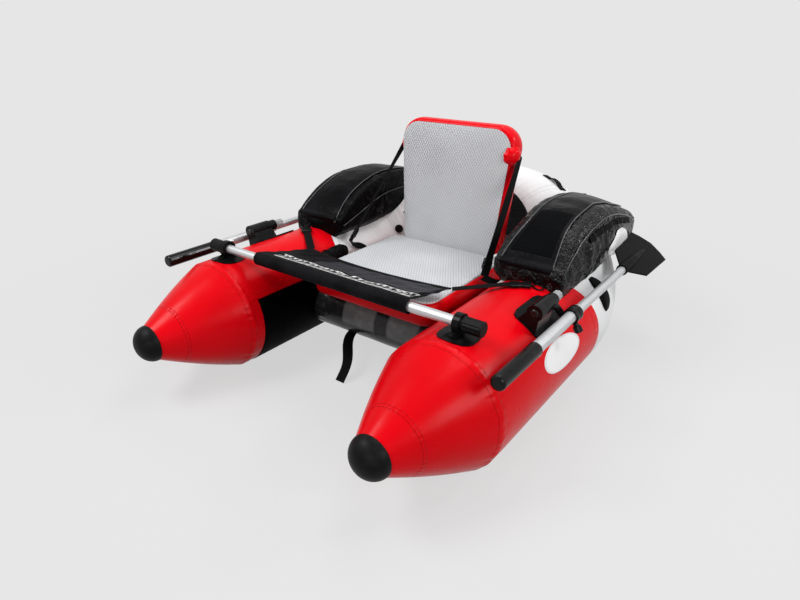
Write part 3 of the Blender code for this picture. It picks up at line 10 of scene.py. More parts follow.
import bmesh
import bpy
import numpy as np
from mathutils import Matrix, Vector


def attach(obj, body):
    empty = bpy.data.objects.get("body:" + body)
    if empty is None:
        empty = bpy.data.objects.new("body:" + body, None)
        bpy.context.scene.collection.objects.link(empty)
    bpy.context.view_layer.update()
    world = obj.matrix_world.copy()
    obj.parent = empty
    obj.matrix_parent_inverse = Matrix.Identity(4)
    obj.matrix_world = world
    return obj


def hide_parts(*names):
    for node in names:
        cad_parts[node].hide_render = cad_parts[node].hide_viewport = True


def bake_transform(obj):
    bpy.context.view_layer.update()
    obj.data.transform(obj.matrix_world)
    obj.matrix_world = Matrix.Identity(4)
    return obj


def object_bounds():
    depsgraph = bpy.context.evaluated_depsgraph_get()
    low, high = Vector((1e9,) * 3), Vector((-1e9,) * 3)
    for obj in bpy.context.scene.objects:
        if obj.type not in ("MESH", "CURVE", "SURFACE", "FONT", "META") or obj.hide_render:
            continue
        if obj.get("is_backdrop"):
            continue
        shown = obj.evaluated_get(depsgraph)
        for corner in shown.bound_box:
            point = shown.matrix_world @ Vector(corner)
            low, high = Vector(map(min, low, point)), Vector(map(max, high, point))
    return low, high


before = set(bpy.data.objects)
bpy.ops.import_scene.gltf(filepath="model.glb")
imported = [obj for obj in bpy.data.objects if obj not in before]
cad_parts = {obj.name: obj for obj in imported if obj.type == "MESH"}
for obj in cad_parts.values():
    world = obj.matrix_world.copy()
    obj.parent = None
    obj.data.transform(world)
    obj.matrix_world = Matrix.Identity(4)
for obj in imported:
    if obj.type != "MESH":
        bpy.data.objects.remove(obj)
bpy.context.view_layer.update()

BAR_Y = -0.3886015
TUBE_R, SKIN_R = 0.1655, 0.1650
TUBE_X, TUBE_Z = 0.397, 0.1647031
SIDES = {"left": -1.0, "right": 1.0}


def at_bar(points):
    """Move points from the crossbar's Y, where the sizes below start, to the frame's Y."""
    return np.asarray(points, dtype=float) + np.array((0.0, BAR_Y, 0.0))


def coords(*parts):
    """One array of points from its coordinates, each spread to their common shape."""
    return np.stack(np.broadcast_arrays(*parts), axis=-1)


def circle(count):
    """Angles of one full turn in count equal steps, without the last, which is the first."""
    return np.linspace(0.0, 2.0 * math.pi, count + 1)[:-1]


# %% [markdown]
# A material is a net of nodes. Placing and joining each node by hand makes a long script in which
# the pattern can't be read. So a Field stands for one output socket and adds, multiplies and
# compares like a number, and a weave or a seam is then written as one sum.

# %% Shader fields
class Nodes:
    """The nodes of one material or world, which are all added by the method node."""

    def __init__(self, tree):
        self.tree = tree

    def plug(self, slot, value):
        """Link a field to a socket, or write a number or colour on the socket itself."""
        if isinstance(value, Field):
            self.tree.links.new(value.socket, slot)
        elif hasattr(value, "__len__") and slot.type == "RGBA" and len(value) == 3:
            slot.default_value = (*value, 1.0)
        else:
            slot.default_value = value

    def node(self, kind, settings=None, sockets=None, output=0):
        """Add a node: its settings first, then a value or link for each socket that is named."""
        made = self.tree.nodes.new(kind)
        for key, value in (settings or {}).items():
            setattr(made, key, value)
        for key, value in (sockets or {}).items():
            self.plug(made.inputs[key], value)
        return Field(self, made.outputs[output])


# %% [markdown]
# Only the operators that the finishes below use are defined. A reflected form, such as 1 - mask,
# has its own method, because Python asks the field when the plain number can't answer. Ramp and
# line turn a distance into a soft mask, and nearly every seam, stitch and tick is made of them.

# %% Arithmetic of fields
class Field:
    """One output socket of a material, with the arithmetic of a number."""

    def __init__(self, nodes, socket):
        self.nodes = nodes
        self.socket = socket

    def math(self, kind, *values):
        """A Math node of the kind, with the values or links of its sockets in order."""
        return self.nodes.node("ShaderNodeMath", {"operation": kind}, dict(enumerate(values)))

    def __add__(self, other):
        return self.math("ADD", self, other)

    def __radd__(self, other):
        return self.math("ADD", other, self)

    def __sub__(self, other):
        return self.math("SUBTRACT", self, other)

    def __rsub__(self, other):
        return self.math("SUBTRACT", other, self)

    def __mul__(self, other):
        return self.math("MULTIPLY", self, other)

    def __rmul__(self, other):
        return self.math("MULTIPLY", other, self)

    def __pow__(self, other):
        return self.math("POWER", self, other)

    def sin(self):
        """Sine of the field, in radians."""
        return self.math("SINE", self)

    def abs(self):
        """Distance of the field from 0."""
        return self.math("ABSOLUTE", self)

    def pingpong(self, span):
        """Zigzag that rises from 0 to span and falls back, over and over."""
        return self.math("PINGPONG", self, span)

    def least(self, other):
        """The smaller of two fields, where both have to hold."""
        return self.math("MINIMUM", self, other)

    def most(self, other):
        """The larger of two fields, where either is enough."""
        return self.math("MAXIMUM", self, other)

    def ramp(self, low, high):
        """0 below low, 1 above high, smooth between; low may be the larger one."""
        start, end = (0.0, 1.0) if low < high else (1.0, 0.0)
        sockets = {"Value": self, "From Min": min(low, high), "From Max": max(low, high),
                   "To Min": start, "To Max": end}
        return self.nodes.node("ShaderNodeMapRange", {"interpolation_type": "SMOOTHSTEP"},
                               sockets, "Result")

    def line(self, centre, half, soft):
        """1 within half of centre, falling to 0 over soft."""
        return (self - centre).abs().ramp(half + soft, half)


# %% [markdown]
# A Look is one material in the making. It knows the place X, Y, Z of a surface point and the
# piece's own U and V, and it ends in the Principled shader. What is the same all over a finish,
# such as its gloss, is set on the shader itself, and only what changes is linked, so that the
# material can be baked.

# %% Looks
# Numbers of the Mix node's colour sockets, whose names it also gives to its other sockets.
MIX_SHARE, MIX_LOW, MIX_HIGH, MIX_COLOUR = 0, 6, 7, 2


class Look(Nodes):
    """A procedural material in the making."""

    def __init__(self, name):
        self.material = bpy.data.materials.new(name)
        self.material.use_nodes = True
        super().__init__(self.material.node_tree)
        self.shader = self.tree.nodes["Principled BSDF"]
        self.place = self.node("ShaderNodeTexCoord", output="Object")
        self.x, self.y, self.z = self.split(self.place)
        self.u, self.v, _ = self.split(self.node("ShaderNodeTexCoord", output="UV"))

    def split(self, vector):
        """The three parts of a vector, as fields."""
        first = self.node("ShaderNodeSeparateXYZ", sockets={0: vector})
        return [Field(self, socket) for socket in first.socket.node.outputs]

    def join(self, x, y, z):
        """A vector from three fields or numbers."""
        return self.node("ShaderNodeCombineXYZ", sockets={0: x, 1: y, 2: z})

    def noise(self, scale, detail=2.0, rough=0.5, where=None):
        """Noise from about 0.25 to 0.75, with features one scale-th of a metre wide."""
        where = self.place if where is None else where
        return self.node("ShaderNodeTexNoise", sockets={
            "Vector": where, "Scale": scale, "Detail": detail, "Roughness": rough})

    def creases(self, scale, detail, rough, low, high):
        """Ramp over a noise's distance from its middle value, which it crosses in thin lines."""
        return (self.noise(scale, detail, rough) - 0.5).abs().ramp(low, high)

    def mix(self, share, low, high):
        """The colour low where share is 0, high where it is 1."""
        sockets = {MIX_SHARE: share, MIX_LOW: low, MIX_HIGH: high}
        return self.node("ShaderNodeMix", {"data_type": "RGBA"}, sockets, MIX_COLOUR)

    def done(self, colour, roughness, height=None, metallic=0.0, coat=0.0, **fixed):
        """Join colour, roughness and a height in metres to the shader, and return the material."""
        varying = {"Base Color": colour, "Roughness": roughness, "Metallic": metallic,
                   "Coat Weight": coat}
        for key, value in varying.items():
            self.plug(self.shader.inputs[key], value)
        for key, value in fixed.items():
            self.shader.inputs[key.replace("_", " ")].default_value = value
        if height is not None:
            sockets = {"Height": height, "Distance": 1.0, "Strength": 1.0}
            self.plug(self.shader.inputs["Normal"], self.node("ShaderNodeBump", sockets=sockets))
        print("%-22s %3d nodes" % (self.material.name, len(self.tree.nodes)))
        return self.material


def toned(tone, *shares):
    """Colour whose red, green and blue are shares of one tone."""
    return tuple(tone * share for share in shares)


# %% [markdown]
# The hull is cloth coated with soft plastic: smooth and glossy, with a fine grain and slow waves.
# Its joints are welded with flat tapes. The tapes could be thin pieces of their own, but a raised
# band in the bump, with puckers beside it and a darker rim, follows the tube exactly. V runs along
# the tube in metres, so a tape's place is read off the real one.

# %% Coated cloth of the hull
TAPE_EDGE, TAPE_THICK, PUCKER = 0.0012, 0.0008, 0.00030


def pvc(name, colour, dark, seams=(), gloss=0.30, coat=0.03, shine=0.07, strip=None):
    """Glossy coated cloth. Seams are bands (place, half width) along V, and the strip is a band
    (place, half width, start) along U."""
    look = Look(name)
    height = look.noise(7.0, 2.0) * 0.0035 + look.noise(900.0, 2.0) * 0.00003
    rims = []
    for place, half in seams:
        wavy = look.v + (look.noise(22.0, 1.0) - 0.5) * 0.004
        band = wavy.line(place, half, TAPE_EDGE)
        pucker = (look.u * 260.0 + look.noise(30.0, 2.0) * 9.0).sin()
        pucker = pucker * wavy.line(place, half * 0.6, half * 2.4)
        height = height + band * TAPE_THICK + pucker * PUCKER
        rims.append(((wavy - place).abs() - half).abs().ramp(TAPE_EDGE, 0.0))
    if strip:
        place, half, start = strip
        begun = look.v.ramp(start - 0.002, start)
        away = (look.u - place).abs()
        height = height + away.ramp(half + TAPE_EDGE, half) * begun * 0.0006
        rims.append((away - half).abs().ramp(0.0014, 0.0) * begun)
    paint = look.mix(look.noise(2.5, 3.0).ramp(0.35, 0.7), colour, dark)
    if rims:
        edge = rims[0]
        for rim in rims[1:]:
            edge = edge.most(rim)
        paint = look.mix(edge * 0.55, paint, tuple(part * 0.35 for part in dark))
    rough = gloss + (look.noise(40.0, 4.0) - 0.5) * 0.14
    return look.done(paint, rough, height, coat=coat, Coat_Roughness=0.16, Specular_IOR_Level=shine)


RED_PAINT, RED_SHADE = (0.70, 0.0008, 0.006), (0.60, 0.0006, 0.004)
TUBE_SEAMS = ((-0.232, 0.0035), (-0.065, 0.010), (0.393, 0.012))
STERN_SEAMS = ((-0.119, 0.008), (0.18, 0.009), (0.47, 0.009), (0.845, 0.009), (1.135, 0.009),
               (1.434, 0.008))
RED = pvc("red_cloth", RED_PAINT, RED_SHADE)
RED_TUBE = pvc("red_tube_cloth", RED_PAINT, RED_SHADE, TUBE_SEAMS, strip=(-0.1690, 0.0085, -0.06))
GREY = pvc("grey_cloth", (0.80, 0.805, 0.81), (0.72, 0.725, 0.73), STERN_SEAMS, gloss=0.34,
           coat=0.08, shine=0.2)

# %% [markdown]
# The cross beams and the scuff panels are black cloth with a harder coat. It creases in thin sharp
# lines, which a noise gives where it crosses its middle value. The front beam has two paler fields,
# painted reflections of the lamps on its gloss, between its webbing tail and the corners
# of the seat.

# %% Black cloth of beams and panels
# Heights between which the front beam's paler fields, painted reflections, lie.
GLARE_LOW_Z, GLARE_HIGH_Z = 0.120, 0.138


def creased_black(name, tone, crease, gloss, shine, glare_fields=()):
    """Shiny black cloth with fine creases. Glare fields are paler bands, painted reflections of the
    lamps on the gloss: (middle, half) along X.
    """
    look = Look(name)
    height = look.creases(22.0, 4.0, 0.6, 0.0, 0.10) * crease + look.noise(12.0, 3.0) * crease * 4.0
    worn = look.noise(50.0, 5.0).ramp(0.45, 0.8)
    colour = look.mix(worn, toned(tone, 1.0, 1.0, 1.05), toned(tone, 2.6, 2.6, 2.7))
    for middle, half in glare_fields:
        # A paler field: a painted reflection of the lamps on the beam's gloss, varied by the worn
        # noise.
        field = look.x.line(middle, half, 0.010) * look.z.ramp(GLARE_LOW_Z, GLARE_HIGH_Z)
        colour = look.mix(field * (0.7 + worn * 0.3), colour, (0.175, 0.180, 0.180))
    rough = gloss + look.noise(25.0, 5.0) * 0.2
    return look.done(colour, rough, height, Specular_IOR_Level=shine)


# The front beam's two paler fields, painted reflections of the lamps: (middle, half) along X.
BEAM_CLOTH = creased_black("beam_cloth", 0.012, 0.0002, 0.14, 0.24,
                           ((-0.054, 0.056), (0.108, 0.048)))
PANEL_CLOTH = creased_black("panel_cloth", 0.0004, 0.0003, 0.5, 0.02)

# %% [markdown]
# The cargo deck is coated nylon. Its threads are 1.1 mm apart, so the weave is a product of two
# sine waves in metres rather than a picture, and it keeps its scale on any piece. The crinkles
# come from noise, a soft one for the folds and a sharp one for the creases.

# %% Nylon of the deck
THREAD = 0.0011


def nylon(name, tone=0.004, crinkle=0.0016, weave=0.00006):
    """Coated nylon: a fine square weave, crinkles and worn high spots."""
    look = Look(name)
    count = 2.0 * math.pi / THREAD
    web = (look.x * count).sin() * (look.z * count).sin() + (look.y * count).sin()
    folds = look.noise(26.0, 4.0, 0.6)
    sharp = look.creases(17.0, 3.0, 0.55, 0.0, 0.12)
    height = web * weave + folds * crinkle * 2.0 + sharp * crinkle
    shade = look.noise(9.0, 4.0).ramp(0.35, 0.7)
    colour = look.mix(shade, toned(tone, 0.7, 0.72, 0.8), toned(tone, 1.8, 1.85, 2.0))
    rough = 0.46 + look.noise(45.0, 3.0) * 0.22
    return look.done(colour, rough, height, Specular_IOR_Level=0.03)


NYLON = nylon("bag_nylon")

# %% [markdown]
# The bags are sewn from shinier cloth, which crumples at three scales at once: wide dents, sharp
# creases and fine crinkles. Along the sharp creases the colour is painted grey: a painted highlight
# on the creases, and partly the coat worn off there. The right bag is crumpled and glossy, and the
# left one is calmer, so one function makes both.

# %% Cloth of the bags
def bag_look(name, tone, crinkle, gloss, shine=0.16):
    """Shiny coated nylon: crinkles at three scales, worn patches, and creases painted grey as their
    highlight and partly as wear.
    """
    look = Look(name)
    wide = look.noise(11.0, 4.0, 0.55)
    sharp = look.creases(24.0, 3.0, 0.6, 0.0, 0.10)
    fine = look.noise(90.0, 4.0, 0.6)
    weave = (look.x * 5200.0).sin() * (look.y * 5200.0).sin() + (look.z * 5200.0).sin()
    height = (wide * crinkle * 3.0 + sharp * crinkle * 0.8 + fine * crinkle * 0.35
              + weave * 0.00002)
    worn = look.noise(35.0, 6.0, 0.65).ramp(0.52, 0.75)
    colour = look.mix(worn, toned(tone, 0.8, 0.8, 0.9), toned(tone, 2.6, 2.6, 2.8))
    # Painted highlight along the sharp creases, partly also the coat worn grey there.
    crease_sheen_and_wear = look.creases(24.0, 3.0, 0.6, 0.010, 0.0) * look.noise(15.0, 2.0).ramp(0.45, 0.65)
    colour = look.mix(crease_sheen_and_wear, colour, (0.060, 0.060, 0.066))
    rough = gloss + look.noise(30.0, 5.0) * 0.26
    return look.done(colour, rough, height, Specular_IOR_Level=shine)


BAG_LOOKS = {"right": bag_look("bag_cloth_creased", 0.0018, 0.0024, 0.08, 0.15),
             "left": bag_look("bag_cloth_plain", 0.0015, 0.0012, 0.26, 0.045)}
# The piping's pale tone is a painted highlight along the cord.
SHEEN_PIPING = bag_look("bag_piping", 0.030, 0.0001, 0.10, 0.5)

# %% [markdown]
# Each bag's lid has a stitched hem at its front, and the right one a darker matte panel sewn on
# top. Both lie at a distance from the lid's edges, so they are lines in its own U and V.

# %% Lids of the bags
LID_HALF_PANEL = 0.070
HEM_ROWS, HEM_HALF = (0.030, 0.036), 0.0007


def lid_look(name, low, high, crinkle, panel=True):
    """Bag lid: a darker matte panel from low to high along V, a stitched hem and soft crinkles."""
    look = Look(name)
    soft = look.noise(10.0, 3.0)
    sharp = look.creases(19.0, 3.0, 0.55, 0.0, 0.12)
    weave = (look.x * 4200.0).sin() * (look.y * 4200.0).sin()
    height = soft * crinkle * 2.4 + sharp * crinkle * 0.6 + weave * 0.00002
    ahead = (look.v - (low + high) / 2.0) * (2.0 / (high - low))
    far = (look.u * (1.0 / LID_HALF_PANEL)).abs().most(ahead.abs())
    shown = 1.0 if panel else 0.0
    inside = far.ramp(1.01, 0.99) * shown
    border = far.line(1.0, 0.012, 0.02) * shown
    first, second = (look.v.line(row, HEM_HALF, HEM_HALF) for row in HEM_ROWS)
    hem = first.most(second)
    stitches = hem * (look.u * 1600.0).sin().ramp(-0.3, 0.3)
    height = height - border * 0.0005 + stitches * 0.0004 - hem * 0.0003
    base = look.mix(soft.ramp(0.35, 0.7), (0.0025, 0.0025, 0.003), (0.006, 0.006, 0.007))
    colour = look.mix(inside, base, (0.0008, 0.0010, 0.0014))
    rough = 0.22 + soft * 0.2 + inside * 0.36
    return look.done(colour, rough, height, Specular_IOR_Level=0.03)


LID_LOOKS = {"right": lid_look("bag_lid_right", 0.055, 0.235, 0.0012),
             "left": lid_look("bag_lid_left", 0.0, 0.2, 0.0010, panel=False)}

# %% [markdown]
# The apron is black cloth with a printed ruler, on which a catch is measured. The ruler here has
# ticks only. A zigzag of U gives evenly spaced ticks, and a band of V gives their height. Behind
# it a smooth grey panel is sewn on.

# %% Cloth of the apron
TICKS = ((100.0, 0.0, 0.12, 0.07, 0.0235, 0.0075), (20.0, 0.0, 0.040, 0.026, 0.034, 0.0180),
         (40.0, 0.0, 0.040, 0.024, 0.0270, 0.0110), (50.0, 0.5, 0.24, 0.2, 0.0435, 0.0040))
RULES = ((0.014, 0.0015), (0.052, 0.0012))
GLOSSY_MIDDLE, GLOSSY_HALF = (0.055, 0.122), (0.175, 0.055)


def box_field(look, margin, soft):
    """1 inside the apron's smooth panel, made wider by a margin on each side."""
    across = look.u.line(GLOSSY_MIDDLE[0], GLOSSY_HALF[0] + margin, soft)
    return across * look.v.line(GLOSSY_MIDDLE[1], GLOSSY_HALF[1] + margin, soft)


def apron_look(name):
    """Black cloth with a plain white ruler, a glossy grey panel and a stitched hem. A row of ticks
    is (ticks per metre, shift, ends of the ramp over the zigzag, middle and half height)."""
    look = Look(name)
    weave = (look.u * 4600.0).sin() * (look.v * 4600.0).sin()
    soft = look.noise(16.0, 4.0)
    height = (weave * 0.00003 + soft * 0.0016
              + look.creases(30.0, 3.0, 0.6, 0.0, 0.10) * 0.0004)
    wander = look.v + (look.noise(7.0, 1.0) - 0.5) * 0.010
    ink = wander.line(*RULES[0], 0.0005).most(wander.line(*RULES[1], 0.0005))
    for count, shift, low, high, middle, half in TICKS:
        turns = look.u * count + shift if shift else look.u * count
        ink = ink.most(turns.pingpong(0.5).ramp(low, high) * wander.line(middle, half, 0.0006))
    ink = ink * (look.u - 0.012).abs().ramp(0.238, 0.236)
    ink = ink * (0.55 + look.noise(140.0, 4.0, 0.7).ramp(0.36, 0.5) * 0.45)
    glossy = box_field(look, 0.0, 0.002)
    edge = box_field(look, 0.002, 0.001) - glossy
    seam = look.v.line(0.006, 0.0006, 0.0006) * (look.u * 1700.0).sin().ramp(-0.3, 0.3)
    height = height + edge * 0.0006 + seam * 0.0004 + ink * 0.00008
    colour = look.mix(soft.ramp(0.35, 0.7), (0.003, 0.003, 0.0035), (0.008, 0.008, 0.009))
    colour = look.mix(glossy, colour, (0.030, 0.030, 0.034))
    colour = look.mix(ink, colour, (0.88, 0.87, 0.86))
    rough = 0.62 - glossy * 0.24 + soft * 0.1
    return look.done(colour, rough, height, Specular_IOR_Level=0.03)


APRON = apron_look("apron_cloth")

# %% [markdown]
# Webbing is woven flat from thick yarn: ribs across it, and a herringbone that a zigzag of U adds
# to the ribs' phase. The seat's foam is pressed into small diamonds. Two families of slanted lines
# cross there, and the smaller distance to either is the groove.

# %% Webbing and foam
RIB, DIAMOND = 0.0021, 0.0092


def webbing(name, tone=0.0035):
    """Woven webbing: ribs across and a herringbone along it."""
    look = Look(name)
    ribs = (look.v * (2.0 * math.pi / RIB) + (look.u * 1800.0).pingpong(3.14)).sin()
    colour = look.mix(ribs.ramp(-1.0, 1.0), toned(tone, 0.6, 0.6, 0.65), toned(tone, 2.2, 2.2, 2.3))
    return look.done(colour, 0.58, ribs * 0.00012, Specular_IOR_Level=0.03)


def foam(name):
    """Grey foam embossed with small diamonds, with painted shade in the grooves, and soiled in a
    few patches.
    """
    look = Look(name)
    count = 1.0 / DIAMOND
    rising = ((look.u + look.v * 0.62) * count).pingpong(0.5)
    falling = ((look.u - look.v * 0.62) * count).pingpong(0.5)
    ridge = rising.least(falling).ramp(0.03, 0.16)
    grain = look.noise(1400.0, 3.0)
    height = ridge * 0.0012 + grain * 0.00008 + look.noise(9.0, 2.0) * 0.0015
    soil = look.noise(6.0, 4.0).ramp(0.4, 0.8)
    # The grooves are painted darker as shade; the soil is real dirt in a few patches.
    colour = look.mix(soil * 0.25 + (1.0 - ridge) * 0.75, (0.62, 0.63, 0.65), (0.39, 0.40, 0.425))
    return look.done(colour, 0.62 + grain * 0.1, height, Specular_IOR_Level=0.3)


WEBBING = webbing("black_webbing")
FOAM = foam("embossed_foam")

# %% [markdown]
# Most stiff fittings are black plastic or rubber from a mould. They differ little in colour, so
# their gloss tells them apart: a polished housing, a dull nose cap, a hand-worn grip. One function
# makes all of them, from a tone, a roughness and the depth of the grain.

# %% Plastic and rubber
def moulded(name, tone, roughness, grain=0.00005, shine=0.08):
    """Moulded plastic or rubber: a fine texture and a few dull, worn patches."""
    look = Look(name)
    fine = look.noise(1700.0, 2.0)
    worn = look.noise(60.0, 5.0).ramp(0.45, 0.75)
    colour = look.mix(worn, toned(tone, 1.0, 1.0, 1.0), toned(tone, 2.3, 2.3, 2.4))
    rough = roughness + worn * 0.12 + fine * 0.08
    return look.done(colour, rough, fine * grain, Specular_IOR_Level=shine)


PLASTIC = moulded("black_plastic", 0.0032, 0.24)
BLADE = moulded("blade_plastic", 0.0016, 0.34, shine=0.03)
GLOSSY = moulded("glossy_black_plastic", 0.0026, 0.16, shine=0.12)
RUBBER = moulded("black_rubber", 0.0032, 0.38, 0.0001)
GRIP = moulded("grip_rubber", 0.0024, 0.10, 0.00004, shine=0.16)

# %% [markdown]
# The oars and the crossbar are drawn aluminium tube, whose fine lines run along it: that is noise
# stretched along Y. The clamp knob is a grey ribbed drum with a black bolt head. It is one packed
# piece, so its place along Y tells the two apart. The bare badges are white vinyl with a border.

# %% Knob, metal and badges
BOLT_HEAD_Y = -0.1175


def knob_look(name):
    """Grey ribbed drum with a black bolt head at its front."""
    look = Look(name)
    worn = look.noise(70.0, 5.0).ramp(0.45, 0.75)
    ahead = look.y.ramp(BOLT_HEAD_Y + 0.001, BOLT_HEAD_Y)
    colour = look.mix(worn, (0.30, 0.30, 0.31), (0.42, 0.42, 0.43))
    colour = look.mix(ahead, colour, (0.004, 0.004, 0.004))
    height = look.noise(1500.0) * 0.00004
    return look.done(colour, 0.32 + worn * 0.12, height, Specular_IOR_Level=0.25)


def aluminium(name):
    """Drawn tube: fine lines along it, a few rubs, and a pale anodised colour."""
    look = Look(name)
    stretched = look.join(look.x * 1500.0, look.y * 30.0, look.z * 1500.0)
    lines = look.noise(1.0, 4.0, 0.6, stretched)
    rubs = look.noise(30.0, 6.0, 0.7).ramp(0.5, 0.8)
    colour = look.mix(lines.ramp(0.3, 0.7), (0.46, 0.47, 0.48), (0.58, 0.59, 0.60))
    colour = look.mix(rubs * 0.4, colour, (0.34, 0.35, 0.36))
    rough = 0.30 + lines * 0.16 + rubs * 0.1
    return look.done(colour, rough, lines * 0.00003, metallic=0.65)


def white_panel(name):
    """Bare white badge with a grey border and light wear."""
    look = Look(name)
    ring = (look.u * look.u + look.v * look.v) ** 0.5
    worn = look.noise(90.0, 5.0).ramp(0.5, 0.8)
    colour = look.mix(ring.ramp(0.88, 0.92), (0.86, 0.86, 0.86), (0.72, 0.72, 0.73))
    colour = look.mix(worn * 0.25, colour, (0.66, 0.66, 0.67))
    return look.done(colour, 0.35 + worn * 0.1, look.noise(500.0) * 0.00003, coat=0.2)


KNOB = knob_look("grey_knob")
ALUMINIUM = aluminium("drawn_aluminium")
WHITE = white_panel("bare_badge")

# %% [markdown]
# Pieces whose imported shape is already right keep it. Each gets its material in its own slot, and a
# name without a side stands for the left and the right piece.

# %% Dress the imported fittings
NODE_LOOKS = {
    PLASTIC: ["crossbar_saddle", "tie_ring", "apron_buckle", "air_valve"],
    BLADE: ["oar_blade"],
    GLOSSY: ["oarlock_housing", "oarlock_arm", "oar_collar", "collar_screw"],
    KNOB: ["oarlock_knob"],
    RUBBER: ["crossbar_cap", "oarlock_plate"],
    GRIP: ["oar_grip"],
    ALUMINIUM: ["crossbar", "oar_shaft"],
}


def dress(node, material):
    """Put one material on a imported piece."""
    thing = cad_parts[node]
    thing.data.materials.clear()
    thing.data.materials.append(material)


for material, nodes in NODE_LOOKS.items():
    for node in nodes:
        both = [node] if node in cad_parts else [node + "_left", node + "_right"]
        for name in both:
            dress(name, material)
        print("%-16s %s" % (node, material.name))

# %% [markdown]
# Every soft piece here is a surface: a grid of points, worked out as whole arrays, that is wrapped
# round itself or capped at its ends. The other way is to push a cage about with modifiers, but a
# grid has its U and V for nothing, and both are kept in metres, so a weave or seam has its real
# size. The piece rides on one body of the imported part, and so it moves with that body's joint.

# %% Surfaces from grids
def add_object(name, data):
    """A new object in the scene, which stays at the origin."""
    made = bpy.data.objects.new(name, data)
    bpy.context.scene.collection.objects.link(made)
    return made


def outwards(mesh, rings=()):
    """Add a smooth face for each ring of point numbers, and turn all faces outwards."""
    shape = bmesh.new()
    shape.from_mesh(mesh)
    shape.verts.ensure_lookup_table()
    for ring in rings:
        shape.faces.new([shape.verts[index] for index in ring]).smooth = True
    bmesh.ops.recalc_face_normals(shape, faces=shape.faces)
    shape.to_mesh(mesh)
    shape.free()


def surface(name, grid, material, uv=None, wrap=(False, False), caps=(False, False), body="hull"):
    """Smooth mesh through a grid: point (i, j) joins (i + 1, j) and (i, j + 1), and the last row
    or column joins the first where it wraps. A cap is one face over the first or last row."""
    grid = at_bar(grid)
    rows, columns = grid.shape[:2]
    row_spans = rows if wrap[0] else rows - 1
    column_spans = columns if wrap[1] else columns - 1
    i, j = np.meshgrid(np.arange(row_spans), np.arange(column_spans), indexing="ij")
    i, j = i.ravel(), j.ravel()
    i2, j2 = (i + 1) % rows, (j + 1) % columns
    quads = (i * columns + j, i * columns + j2, i2 * columns + j2, i2 * columns + j)
    faces = np.stack(quads, axis=1).tolist()
    for end, wanted in zip((0, rows - 1), caps):
        if wanted:
            ring = [end * columns + k for k in range(columns)]
            faces.append(ring[::-1] if end == 0 else ring)
    mesh = bpy.data.meshes.new(name)
    mesh.from_pydata(grid.reshape(-1, 3).tolist(), [], faces)
    if uv is not None:
        uv = np.asarray(uv, dtype=float)
        corners = (uv[i, j], uv[i, j + 1], uv[i + 1, j + 1], uv[i + 1, j])
        corners = np.stack(corners, axis=1).reshape(-1, 2)
        flat = np.zeros((len(mesh.loops), 2))
        flat[:len(corners)] = corners
        mesh.uv_layers.new(name="UVMap").data.foreach_set("uv", flat.ravel())
    outwards(mesh)
    mesh.shade_smooth()
    mesh.set_sharp_from_angle(angle=math.radians(50.0))
    mesh.materials.append(material)
    made = add_object(name, mesh)
    if body:
        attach(made, body)
    size = np.ptp(grid.reshape(-1, 3), axis=0) * 1000.0
    print("%-22s %6d points, %4.0f x %4.0f x %4.0f mm" % (name, rows * columns, *size))
    return made


def closed_uv(uv):
    """UV with its first column again at the end, for a surface that wraps round."""
    return np.concatenate((uv, uv[:, :1]), axis=1)


# %% [markdown]
# Cloth under air is never quite even. These helpers make its waves and folds from sine waves in
# directions drawn with a fixed seed, so that each run gives the same folds. A fold is 1 minus the
# size of a wave, which is narrow at its top and wide below, as a real crease is.

# %% Waves and folds
def waves(points, sizes, seed):
    """Smooth height from about -1 to 1: sine waves in seeded directions, added up."""
    maker = np.random.default_rng(seed)
    total = np.zeros(points.shape[:-1])
    for size in sizes:
        for _ in range(4):
            direction = maker.normal(size=3)
            direction /= np.linalg.norm(direction)
            phase = maker.uniform(0.0, 6.28)
            total += np.sin(points @ direction * (2.0 * math.pi / size) + phase)
    return total / (2.5 * len(sizes))


def smooth(x, low, high):
    """Smoothstep from 0 at low to 1 at high: 3 t^2 - 2 t^3."""
    t = np.clip((x - low) / (high - low), 0.0, 1.0)
    return t * t * (3.0 - 2.0 * t)


def ridges(places, size, low, high, seed):
    """Folds from 0 to 1: 1 - |waves| makes narrow ridges between wide dips."""
    return smooth(1.0 - np.abs(waves(places, (size, size * 0.6), seed)), low, high)


def unit(vectors):
    """Vectors over their length; a vector of no length stays zero."""
    return vectors / np.maximum(np.linalg.norm(vectors, axis=-1, keepdims=True), 1e-12)


def lengths(path):
    """Distance along a path at each of its points."""
    return np.concatenate(((0.0,), np.cumsum(np.linalg.norm(np.diff(path, axis=0), axis=1))))


# %% [markdown]
# The hull is one tube seen in three parts: a cone, a straight part and a bend that climbs round
# the stern. The bend could be a curve with a round bevel, but many pieces lie on it, so its frame
# is a formula. A turn from 0 to half a circle gives the tube's centre and the directions outward
# and upward across it. The function skin then gives any point on the hull, for patches and straps.

# %% Plan of the hull
CONE_FRONT_Y, CONE_REAR_Y, CONE_TIP_R, CONE_BULGE = -0.295, -0.065, 0.049, 0.04
NOSE_TOE_IN, NOSE_RISE = 0.009, 0.008
SPLIT_Y, SPLIT_SLOPE = 0.405, 0.577
BEND_Y, BEND_LENGTH, STERN_RISE = 0.532, 0.4185, 0.168


def bend_frame(turn):
    """Centre, outward and upward directions of the stern bend at turns from 0 to pi: the centre is
    (X cos t, Y + length sin t, Z + rise sin^2 t), and the directions stand across its slope."""
    turn = np.asarray(turn, dtype=float)
    centre = coords(TUBE_X * np.cos(turn), BEND_Y + BEND_LENGTH * np.sin(turn),
                    TUBE_Z + STERN_RISE * np.sin(turn) ** 2)
    along = unit(coords(-TUBE_X * np.sin(turn), BEND_LENGTH * np.cos(turn),
                        2.0 * STERN_RISE * np.sin(turn) * np.cos(turn)))
    outward = unit(coords(along[..., 1], -along[..., 0], 0.0))
    return centre, outward, np.cross(outward, along)


